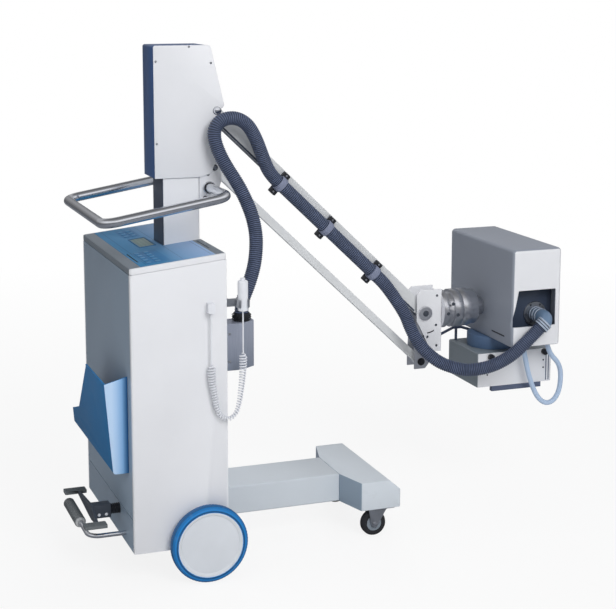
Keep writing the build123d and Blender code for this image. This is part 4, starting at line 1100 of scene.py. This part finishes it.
class XRAY_OT_wheels(Builder):
    """Finish the rear wheels: blue tyres with a fine tread, and capped hubs"""

    bl_idname = "xray.wheels"
    bl_label = "Rear wheels"

    def build(self):
        count = bpy.context.scene.xray_wheels.grooves
        half = [
            (0.0831, 0.0155), (0.0870, 0.0160), (0.0905, 0.0157), (0.0945, 0.0140), (0.0975, 0.0105),
            (0.0985, 0.0090), (0.0992, 0.0088), (0.0992, 0.0048), (0.0998, 0.0044), (0.1000, 0.0040),
        ]
        outer = [
            (0.0831, -0.0155), (0.0831, 0.0148), (0.0820, 0.0153), (0.0800, 0.0150), (0.0785, 0.0138),
            (0.0765, 0.0134), (0.0750, 0.0118), (0.0735, 0.0120), (0.0560, 0.0126), (0.0300, 0.0129),
            (0.0, 0.0130),
        ]
        inner = [
            (0.0831, -0.0155), (0.070, -0.0155), (0.066, -0.0110), (0.030, -0.0095), (0.026, -0.0155),
            (0.0082, -0.0155), (0.0082, 0.005),
        ]
        for name, side in SIDES:
            wheel = f"wheel_{name}"
            middle = Vector((WHEEL_X, side * WHEEL_OUT, WHEEL_RADIUS))
            tyre = placed(turned(both_faces(half), 144, "tyre"), middle, (0, side, 0))
            made = piece(f"tyre_{name}", tyre, wheel, "tyre")
            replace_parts(made, f"rear_tyre_{name}")
            spots = []
            for k in range(count):
                angle = 2 * math.pi * (k + 0.5) / count
                out = Vector((math.cos(angle), 0, math.sin(angle)))
                for lane in (-0.0068, 0.0068):
                    spots.append((middle + Vector((0, lane, 0)) + out * 0.0990, out, (0, 1, 0)))
            lug = block((0.0032, 0.0052, 0.0007), 0.0002, "tread", 1)
            repeat(f"tread_{name}", lug, spots, wheel, "tyre")
            matrix = stand(middle, (0, side, 0))
            faces = ((turned(outer, 96, "hub_cap"), matrix), (turned(inner, 96, "hub_back"), matrix))
            made = piece(f"hub_{name}", joined("hub", faces), wheel, "hub")
            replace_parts(made, f"rear_hub_{name}")


class XRAY_OT_arm(Builder):
    """Paint the parallelogram arm, with painted shade under the upper bar and along its lower edges, bolts
    and hose clamps
    """

    bl_idname = "xray.arm"
    bl_label = "Arm"

    def build(self):
        # painted shade: the upper bar's underside wears the dark slate
        dress(
            "upper_bar", "bar", "dark_slate", edge=None,
            tone=lambda c, n: int(n.dot(ARM_UP) < -0.7), cuts=(on_arm(0.025, 0, 0), ARM_ALONG, 0.038, 22),
        )
        # painted shade: a dark strip along the lower edge of each side of the upper bar
        seam = block((0.780, 0.0048, 0.0004), 0.0001, "seam", 1)
        spots = [(on_arm(0.430, -0.0145, -side * 0.0199), (0, side, 0), tuple(ARM_ALONG)) for side in (-1, 1)]
        repeat("bar_seams", seam, spots, "arm", "dark_slate")
        dress("lower_bar", "bar", edge=None, cuts=(on_arm(0.068, 0, 0), ARM_ALONG, 0.030, 29))
        dress("end_link", "satin")
        dress("hose_clamps", "strap", "black", edge=0.0006, tone=lambda c, n: int(c.y > -0.026))
        clamps = [(place + 0.009, up) for place in (0.257, 0.439, 0.629) for up in (-0.0468, 0.0074)]
        lugs, heads = (
            [(on_arm(place, up, out), (0, -1, 0), tuple(ARM_ALONG)) for place, up in clamps]
            for out in (0.0256, 0.0391)
        )
        repeat("clamp_lugs", block((0.0215, 0.0126, 0.0135), 0.0014, "lug"), lugs, "arm", "black")
        repeat("clamp_screws", screw_shape(), heads, "arm", "zinc", 0.0030)
        lower = ARM_END + Vector((-0.008, 0, -0.140))
        for name, side in SIDES:
            spots = [((lower.x, side * 0.027, lower.z), (0, side, 0), (0, 0, 1))]
            repeat(f"link_bolts_{name}", bolt_shape(), spots, "arm_end", "black", 0.0080)


class XRAY_OT_swivel(Builder):
    """Finish the tilting bracket, its caps and the roll bearing"""

    bl_idname = "xray.swivel"
    bl_label = "Swivel"

    def build(self):
        dress("tilt_bracket", "white", edge=0.0012)
        dress("tilt_caps", "satin")
        dress("roll_bearing", "satin")
        dress("roll_hub", "satin")
        heads = ((-0.006, -0.067), (0.008, -0.0685), (0.034, -0.036), (0.036, 0.048), (0.036, -0.095))
        places = [(ARM_END.x + dx, ARM_END.z + dz) for dx, dz in heads]
        side_screws("bracket_screws", 0.032, places, 0.0036, "swivel", "dark")
        heads = ((0.962, -0.005), (0.992, -0.010), (0.977, 0.022))
        places = [(REAR + x, ROLL_Z + dz) for x, dz in heads]
        side_screws("bearing_screws", 0.0538, places, 0.0050, "swivel", "dark")
        slot = block((0.0046, 0.0032, 0.0006), 0.0001, "slot", 1)
        profile = [(0, 0.0012), (0.0060, 0.0012), (0.0070, 0.0004), (0.0085, 0.0003), (0.0090, -0.0005)]
        for name, side in SIDES:
            arc = []
            for angle in (0.46, 0.40, 0.34, 0.28, 0.22, 0.16):
                out = Vector((math.sin(angle), 0, -math.cos(angle)))
                place = ARM_END + out * 0.058 + Vector((0, side * 0.0318, 0))
                arc.append((place, (0, side, 0), (out.z, 0, -out.x)))
            repeat(f"bracket_slot_{name}", slot, arc, "swivel", "black")
            cap = turned(profile, 32, "cap_centre")
            cap = placed(cap, (ARM_END.x, side * 0.038, ARM_END.z), (0, side, 0))
            piece(f"cap_centre_{name}", cap, "swivel", "dark")


class XRAY_OT_head(Builder):
    """Finish the tube head: two-tone cover, the tube in its window, the hose fitting"""

    bl_idname = "xray.head"
    bl_label = "Tube head"

    def build(self):
        dress(
            "head_housing", "white", "grey", edge=0.0010,
            tone=lambda c, n: int(abs(n.y) < 0.72 or abs(c.y) < 0.190),
        )
        dress("tube_block", "dark_slate")
        dress("hose_elbow", "steel_blue", edge=0.0006)
        start, corner = Vector(HOSE_DROP[-1]), Vector((REAR + 1.1790, -0.2315, 0.5870))
        into = (start - corner).normalized()
        out = Vector((0, -1, 0))
        places = [(Vector((corner.x, y, corner.z)), out, (1, 0, 0)) for y in (-0.162, -0.176, -0.190)]
        places += [(start - into * reach, into, (0, 1, 0)) for reach in (0.003, 0.010, 0.017)]
        collar = turned(both_faces([(0.0194, 0.0026), (0.0214, 0.0019)]), 36)
        repeat("elbow_collars", collar, places, "head", "steel_pale")
        places = [(place + along * 0.0035, along, across) for place, along, across in places]
        groove = turned(both_faces([(0.0194, 0.0008), (0.0205, 0.0006)]), 36)
        repeat("elbow_grooves", groove, places, "head", "black")
        profile = [(0.020, 0.0), (0.034, 0.0), (0.034, 0.004), (0.033, 0.005), (0.020, 0.005), (0.020, 0.0)]
        flange = placed(turned(profile, 40), (corner.x, -0.1520, corner.z), (0, -1, 0))
        piece("tube_flange", flange, "head", "zinc")
        turns = [k * math.pi / 3 for k in range(6)]
        places = [(corner.x + 0.0285 * math.cos(a), -0.1570, corner.z + 0.0285 * math.sin(a)) for a in turns]
        screws("flange_bolts", places, (0, -1, 0), 0.0032, "head", "dark")
        slits = [((REAR + 1.0872, side * 0.1135, 0.5285), (-1, 0, 0), (0, 1, 0)) for side in (-1, 1)]
        repeat("head_slits", block((0.076, 0.0040, 0.0006), 0.0001, "slit", 1), slits, "head", "black")
        corners = [(REAR + 1.2358, y, z) for y in (-0.180, 0.180) for z in (0.525, 0.640, 0.758)]
        screws("head_front_screws", corners, (1, 0, 0), 0.0034, "head", "zinc")


class XRAY_OT_collimator(Builder):
    """Finish the collimator: body, window, ring, rails, handle and knobs"""

    bl_idname = "xray.collimator"
    bl_label = "Collimator"

    def build(self):
        dress("collimator_body", "white", "grey_dark", tone=lambda c, n: int(abs(n.y) < 0.72))
        dress("collimator_window", "glass", edge=0.0003)
        dress("collimator_ring", "ring_blue", edge=0.0012)
        dress("collimator_rails", "rail", edge=0.0006)
        dress("collimator_handle", "rail", edge=0.0003)
        dress("collimator_knobs", "black", edge=0.0006)
        heads = ((1.066, 0.4055), (1.2435, 0.4340), (1.2438, 0.4120))
        side_screws("body_screws", 0.095, [(REAR + x, z) for x, z in heads], 0.0026, "head", "dark")
        strip = block((0.084, 0.0030, 0.0007), 0.0003, "strip", 1)
        for name, side in SIDES:
            strips = [((REAR + x, side * 0.0948, 0.4165), (0, side, 0), (0, 0, 1)) for x in (1.2525, 1.2605)]
            repeat(f"body_strips_{name}", strip, strips, "head", "rail")


class XRAY_OT_brake(Builder):
    """Finish the foot brake: rocker, spring, bar and ribbed grip"""

    bl_idname = "xray.brake"
    bl_label = "Foot brake"

    def build(self):
        pads = (0.049, -0.200)
        dress(
            "brake_rocker", "dark", "pad", edge=0.0010,
            tone=lambda c, n: int(min(abs(c.y - y) for y in pads) < 0.017 and c.x < REAR - 0.056),
        )
        corners = [(REAR, -0.182, 0.112), (REAR - 0.095, -0.182, 0.112), (REAR - 0.095, 0.084, 0.116)]
        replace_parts(bent_rail("foot_bar_tube", corners, 0.030, BAR_RADIUS, "cart", "chrome"), "foot_bar")
        dress("foot_grip", "grip", edge=0.0006)
        count = bpy.context.scene.xray_wheels.ribs
        first, last = Vector((REAR - 0.095, 0.073, 0.1158)), Vector((REAR - 0.095, -0.071, 0.1137))
        along = (last - first).normalized()
        spots = [(first.lerp(last, k / (count - 1)), tuple(along), (1, 0, 0)) for k in range(count)]
        repeat("grip_ribs", ring_shape(0.0138, 0.0011, 28, 6), spots, "cart", "pad")
        ribs = [
            ((REAR - 0.083, y + (k - 2) * 0.0058, z - 0.0002), (0, 0, 1), (1, 0, 0))
            for y, z in zip(pads, (0.161, 0.151))
            for k in range(5)
        ]
        repeat("pad_ribs", block((0.050, 0.0026, 0.0012), 0.0004, "rib", 1), ribs, "cart", "pad")
        coils = [((REAR - 0.0275 + 0.0052 * k, -0.112, 0.155), (1, 0, 0), (0, 1, 0)) for k in range(6)]
        repeat("brake_spring", ring_shape(0.0125, 0.0015), coils, "cart", "black")
        # painted highlight: the bolts wear the cord's white, which stands in for their glints
        bolts = [((REAR + x, -0.1278, 0.147), (0, -1, 0), (0, 0, 1)) for x in (-0.057, -0.038)]
        repeat("brake_bolts", bolt_shape(), bolts, "cart", "cord_white", 0.0030)


class XRAY_OT_holder(Builder):
    """Finish the hose holder, its glands, the hand switch and its clip"""

    bl_idname = "xray.holder"
    bl_label = "Hose holder"

    def build(self):
        dress("hose_holder", "brushed", edge=0.0012)
        dress("cable_glands", "black", "cord_white", tone=lambda c, n: int(c.z > 0.680))
        places = [(REAR + 0.262, -0.2400, z) for z in (0.550, 0.622)]
        screws("holder_screws", places, (0, -1, 0), 0.0038, "cart", "zinc")
        rings = [((REAR + 0.305, -0.206, z), (0, 0, 1), (1, 0, 0)) for z in (0.6520, 0.6575, 0.6630)]
        repeat("gland_rings", ring_shape(0.0240, 0.0010, 36), rings, "cart", "rubber")
        dress("hand_switch", "cord_white", edge=0.0005)
        dress("switch_clip", "zinc", edge=0.0004)


def clamped(along):
    """A point on the hose's line through its clamps, on the arm's right."""
    return tuple(on_arm(along, -0.020, 0.0415))


HOSE_RADIUS = 0.018
HOSE_RISE = [
    (-0.274, -0.206, 0.668), (-0.274, -0.206, 0.694), (-0.253, -0.204, 0.738), (-0.229, -0.190, 0.800),
    (-0.219, -0.163, 0.880), (-0.243, -0.125, 0.968), (-0.291, -0.097, 1.050), (-0.311, -0.089, 1.112),
    (-0.295, -0.084, 1.146), (-0.253, -0.080, 1.156), (-0.213, -0.072, 1.138), (-0.187, -0.065, 1.098),
    (-0.165, -0.056, 1.046), clamped(0.223), clamped(0.257),
]
HOSE_DROP = [
    clamped(0.647), clamped(0.691), (0.247, -0.058, 0.596), (0.265, -0.074, 0.534),
    (0.301, -0.092, 0.482), (0.351, -0.112, 0.446), (0.409, -0.138, 0.436), (0.459, -0.176, 0.452),
    (0.505, -0.208, 0.488), (0.543, -0.222, 0.530), (0.579, -0.228, 0.566),
]
HEAD_CABLE = [
    (0.647, -0.140, 0.505), (0.655, -0.138, 0.467), (0.701, -0.132, 0.425), (0.701, -0.132, 0.357),
    (0.682, -0.131, 0.321), (0.653, -0.130, 0.315), (0.625, -0.128, 0.341), (0.601, -0.128, 0.401),
    (0.587, -0.130, 0.455), (0.575, -0.132, 0.505),
]
CURLY_ROUTE = [
    (-0.378, -0.284, 0.560), (-0.378, -0.284, 0.518), (-0.370, -0.284, 0.478), (-0.364, -0.284, 0.438),
    (-0.347, -0.284, 0.416), (-0.325, -0.284, 0.416), (-0.309, -0.284, 0.438), (-0.301, -0.284, 0.488),
    (-0.295, -0.284, 0.546), (-0.295, -0.284, 0.584),
]


def corrugated(name, route):
    """A length of corrugated hose, with six rings to a rib."""
    sizes, rings = bpy.context.scene.xray_hoses, 6
    _, length = centreline(route, 0.01)
    ribs = max(4, round(length / sizes.pitch))
    line, _ = centreline(route, length / (ribs * rings))
    ridge = [
        min(1.0, 0.675 * (1 - math.cos(2 * math.pi * (i % rings) / rings)))  # a wave with a flat top
        for i in range(len(line))
    ]
    radii = [HOSE_RADIUS - sizes.depth * (1 - high) for high in ridge]
    made = piece(name, tube(name, line, radii, 24, ridge), None, "hose")
    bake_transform(made)
    return made


class XRAY_OT_hoses(Builder):
    """Lay the corrugated hose over the arm's joints, and the head's cable"""

    bl_idname = "xray.hoses"
    bl_label = "Hoses and cables"

    def build(self):
        split = Vector(HOSE_DROP[2]).lerp(Vector(HOSE_DROP[3]), 0.25)
        turn = Vector(HOSE_DROP[5]).lerp(Vector(HOSE_DROP[6]), 0.75)
        rise = corrugated(
            "hose_rise_skin", HOSE_RISE
        )
        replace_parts(rise, "hose_riser")
        run = [HOSE_RISE[-1], clamped(0.452), *HOSE_DROP[:3], tuple(split)]
        run = corrugated("hose_run_skin", run)
        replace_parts(run, "hose_run", "hose_drop_arm")
        link = [tuple(split), *HOSE_DROP[3:6], tuple(turn)]
        link = corrugated("hose_link_skin", link)
        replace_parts(link, "hose_drop_link")
        drop = [tuple(turn), *HOSE_DROP[6:]]
        drop = corrugated("hose_head_skin", drop)
        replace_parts(drop, "hose_drop_head")
        curve = route_curve("head_cable_sheath", HEAD_CABLE, 0.007, 6)
        loop = piece("head_cable_sheath", curve, "head", "cable_blue")
        _, length = centreline(HEAD_CABLE, 0.004)
        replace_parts(loop, "head_cable")


class XRAY_OT_hand_switch_cord(Builder):
    """Wind the hand switch's curly cord"""

    bl_idname = "xray.hand_switch_cord"
    bl_label = "Curly cord"

    def build(self):
        turns = bpy.context.scene.xray_hoses.turns
        line, _ = centreline(CURLY_ROUTE, 0.0005)
        frames = carried_frames(line)
        (inlet, y, _), (switch, _, _) = CURLY_ROUTE[0], CURLY_ROUTE[-1]
        top_in = (inlet, y, 0.690)
        points = [top_in, (inlet, y, 0.650), (inlet, y, 0.600), (inlet, y, 0.570)]
        steps = turns * 10
        for k in range(steps + 1):
            share = k / steps
            index = min(len(line) - 1, round(share * (len(line) - 1)))
            u, v = frames[index]
            grow = min(1.0, min(share, 1 - share) * turns / 1.5)  # the first and last turns open slowly
            angle = 2 * math.pi * turns * share
            reach = grow * (0.0042 + 0.0058 * abs(2 * share - 1.04) ** 1.2)
            points.append(tuple(line[index] + (u * math.cos(angle) + v * math.sin(angle)) * reach))
        points += [(switch, y, z) for z in (0.596, 0.625, 0.660, 0.690)]
        curve = route_curve("curly_cord_sheath", points, 0.0019, 2)
        curve.resolution_u = 2
        cord = piece("curly_cord_sheath", curve, "cart", "cord_white")
        _, length = centreline(points, 0.002)
        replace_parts(cord, "curly_cord", "curly_leads")


class XRAY_OT_stage(Builder):
    """Set the floor, the world, the lamps and the camera"""

    bl_idname = "xray.stage"
    bl_label = "Stage"

    def build(self):
        work = bmesh.new()
        bmesh.ops.create_grid(work, x_segments=8, y_segments=8, size=60.0)
        floor = piece("floor", mesh_of(work, "floor", 40), None, "floor")
        self.light_all_round()
        self.hang_lamps()
        self.place_camera()
        bpy.context.scene.view_settings.view_transform = "Standard"

    def light_all_round(self):
        """A white background, a soft sky, and a room with a bright band for mirrors to show."""
        world = bpy.data.worlds.new("studio")
        bpy.context.scene.world = world
        world.use_nodes = True
        graph = Graph(world.node_tree)
        graph.tree.nodes.clear()
        rays = graph.node("ShaderNodeLightPath").outputs
        kinds = ("Camera", "Transmission", "Glossy")
        camera, through, mirrored = (Sock(graph, rays[f"Is {kind} Ray"]) for kind in kinds)
        place = graph.out("ShaderNodeTexCoord", output="Generated")
        axes = graph.node("ShaderNodeSeparateXYZ", {}, {0: place}).outputs
        height = Sock(graph, axes["Z"]).ramp(-1.0, 1.0)
        band = graph.node("ShaderNodeValToRGB", {}, {0: height})
        stops = band.color_ramp.elements
        stops[0].position, stops[0].color = 0.0, (0.45, 0.45, 0.47, 1)
        stops[1].position, stops[1].color = 1.0, (0.22, 0.22, 0.23, 1)
        levels = ((0.50, 0.26), (0.60, 0.55), (0.67, 0.95), (0.80, 0.95), (0.88, 0.45), (0.95, 0.26))
        for position, level in levels:
            stops.new(position).color = (level, level, level * 1.03, 1)
        far_side = Sock(graph, axes["Y"]).ramp(-0.2, 0.5)
        room = {"Color": Sock(graph, band.outputs[0]), "Strength": 1 - 0.5 * far_side}
        room = graph.out("ShaderNodeBackground", {}, room)
        sky = {"Color": (0.96, 0.98, 1.0), "Strength": bpy.context.scene.xray_stage.sky}
        sky = graph.out("ShaderNodeBackground", {}, sky)
        white = graph.out("ShaderNodeBackground", {}, {"Color": (1, 1, 1), "Strength": 1.0})
        light = graph.out("ShaderNodeMixShader", {}, {0: mirrored, 1: sky, 2: room})
        seen = camera.maths("MAXIMUM", through)
        blend = graph.out("ShaderNodeMixShader", {}, {0: seen, 1: light, 2: white})
        graph.node("ShaderNodeOutputWorld", {}, {0: blend})

    def hang_lamps(self):
        """Round lamps that face the machine. Only the sheen shows in mirrors."""
        key, aim = bpy.context.scene.xray_stage.lamp, Vector((0.1, 0, 0.6))
        for name, place, share, size in (
            ("key", (0.3, -4.0, 3.2), 0.65, 2.6),
            ("sheen", (0.3, -4.0, 3.2), 0.35, 2.6),
            ("fill", (-3.2, -2.0, 2.6), 0.12, 2.6),
            ("top", (0.2, 0.6, 4.2), 0.08, 3.0),
            ("back", (1.4, 4.4, 2.4), 0.50, 2.6),
        ):
            lamp = bpy.data.lights.new(name, "AREA")
            lamp.energy = key * share
            lamp.shape = "DISK"
            lamp.size = size
            holder = bpy.data.objects.new(name, lamp)
            bpy.context.scene.collection.objects.link(holder)
            holder.location = place
            holder.visible_glossy = name == "sheen"
            holder.rotation_euler = (aim - Vector(place)).to_track_quat("-Z", "Y").to_euler()

    def place_camera(self):
        """The camera that was fitted to the photograph, in its pixels."""
        width, focal, middle, eye_row = 616.0, 1497.0, 304.5, 221.8
        lens = bpy.data.cameras.new("camera")
        lens.sensor_width = 36.0
        lens.lens = focal * lens.sensor_width / width
        lens.shift_y = -(middle - eye_row) / width
        lens.clip_start, lens.clip_end = 0.1, 200.0
        camera = bpy.data.objects.new("camera", lens)
        bpy.context.scene.collection.objects.link(camera)
        yaw, pitch, roll = 0.3547, -0.1602, 0.0007
        flat = math.cos(pitch)
        ahead = Vector((math.sin(yaw) * flat, math.cos(yaw) * flat, math.sin(pitch)))
        right = Vector((math.cos(yaw), -math.sin(yaw), 0))
        up = right.cross(ahead)
        side = right * math.cos(roll) + up * math.sin(roll)
        top = up * math.cos(roll) - right * math.sin(roll)
        turn = Matrix((side, top, -ahead)).transposed().to_4x4()
        camera.matrix_world = Matrix.Translation((REAR - 0.8313, -3.7617, 1.5046)) @ turn
        bpy.context.scene.camera = camera


class XRAY_PT_panel(bpy.types.Panel):
    """The machine's pieces, in the sidebar"""

    bl_idname = "XRAY_PT_panel"
    bl_label = "Mobile x-ray machine"
    bl_space_type = "VIEW_3D"
    bl_region_type = "UI"
    bl_category = "X-ray machine"

    def draw(self, context):
        for name, group in GROUPS:
            box = self.layout.box()
            for field in group.__annotations__:
                box.prop(getattr(context.scene, name), field)
        for operator in OPERATORS:
            self.layout.operator(operator.bl_idname)


GROUPS = (
    ("xray_colours", FinishColours),
    ("xray_hoses", HoseSizes),
    ("xray_wheels", WheelSizes),
    ("xray_stage", StageSizes),
)
OPERATORS = (
    XRAY_OT_stage,
    XRAY_OT_hoses,
    XRAY_OT_hand_switch_cord,
    XRAY_OT_cabinet,
    XRAY_OT_deck,
    XRAY_OT_mast,
    XRAY_OT_handle,
    XRAY_OT_cassette_box,
    XRAY_OT_foot,
    XRAY_OT_casters,
    XRAY_OT_wheels,
    XRAY_OT_arm,
    XRAY_OT_swivel,
    XRAY_OT_head,
    XRAY_OT_collimator,
    XRAY_OT_brake,
    XRAY_OT_holder,
)


def register():
    for name, group in GROUPS:
        bpy.utils.register_class(group)
        setattr(bpy.types.Scene, name, bpy.props.PointerProperty(type=group))
    for operator in OPERATORS:
        bpy.utils.register_class(operator)
    bpy.utils.register_class(XRAY_PT_panel)


def unregister():
    bpy.utils.unregister_class(XRAY_PT_panel)
    for operator in reversed(OPERATORS):
        bpy.utils.unregister_class(operator)
    for name, group in reversed(GROUPS):
        delattr(bpy.types.Scene, name)
        bpy.utils.unregister_class(group)


def main():
    """Builds every piece."""
    register()
    for operator in OPERATORS:
        group, name = operator.bl_idname.split(".")
        getattr(getattr(bpy.ops, group), name)()
    bpy.context.view_layer.update()


if __name__ == "__main__":
    main()
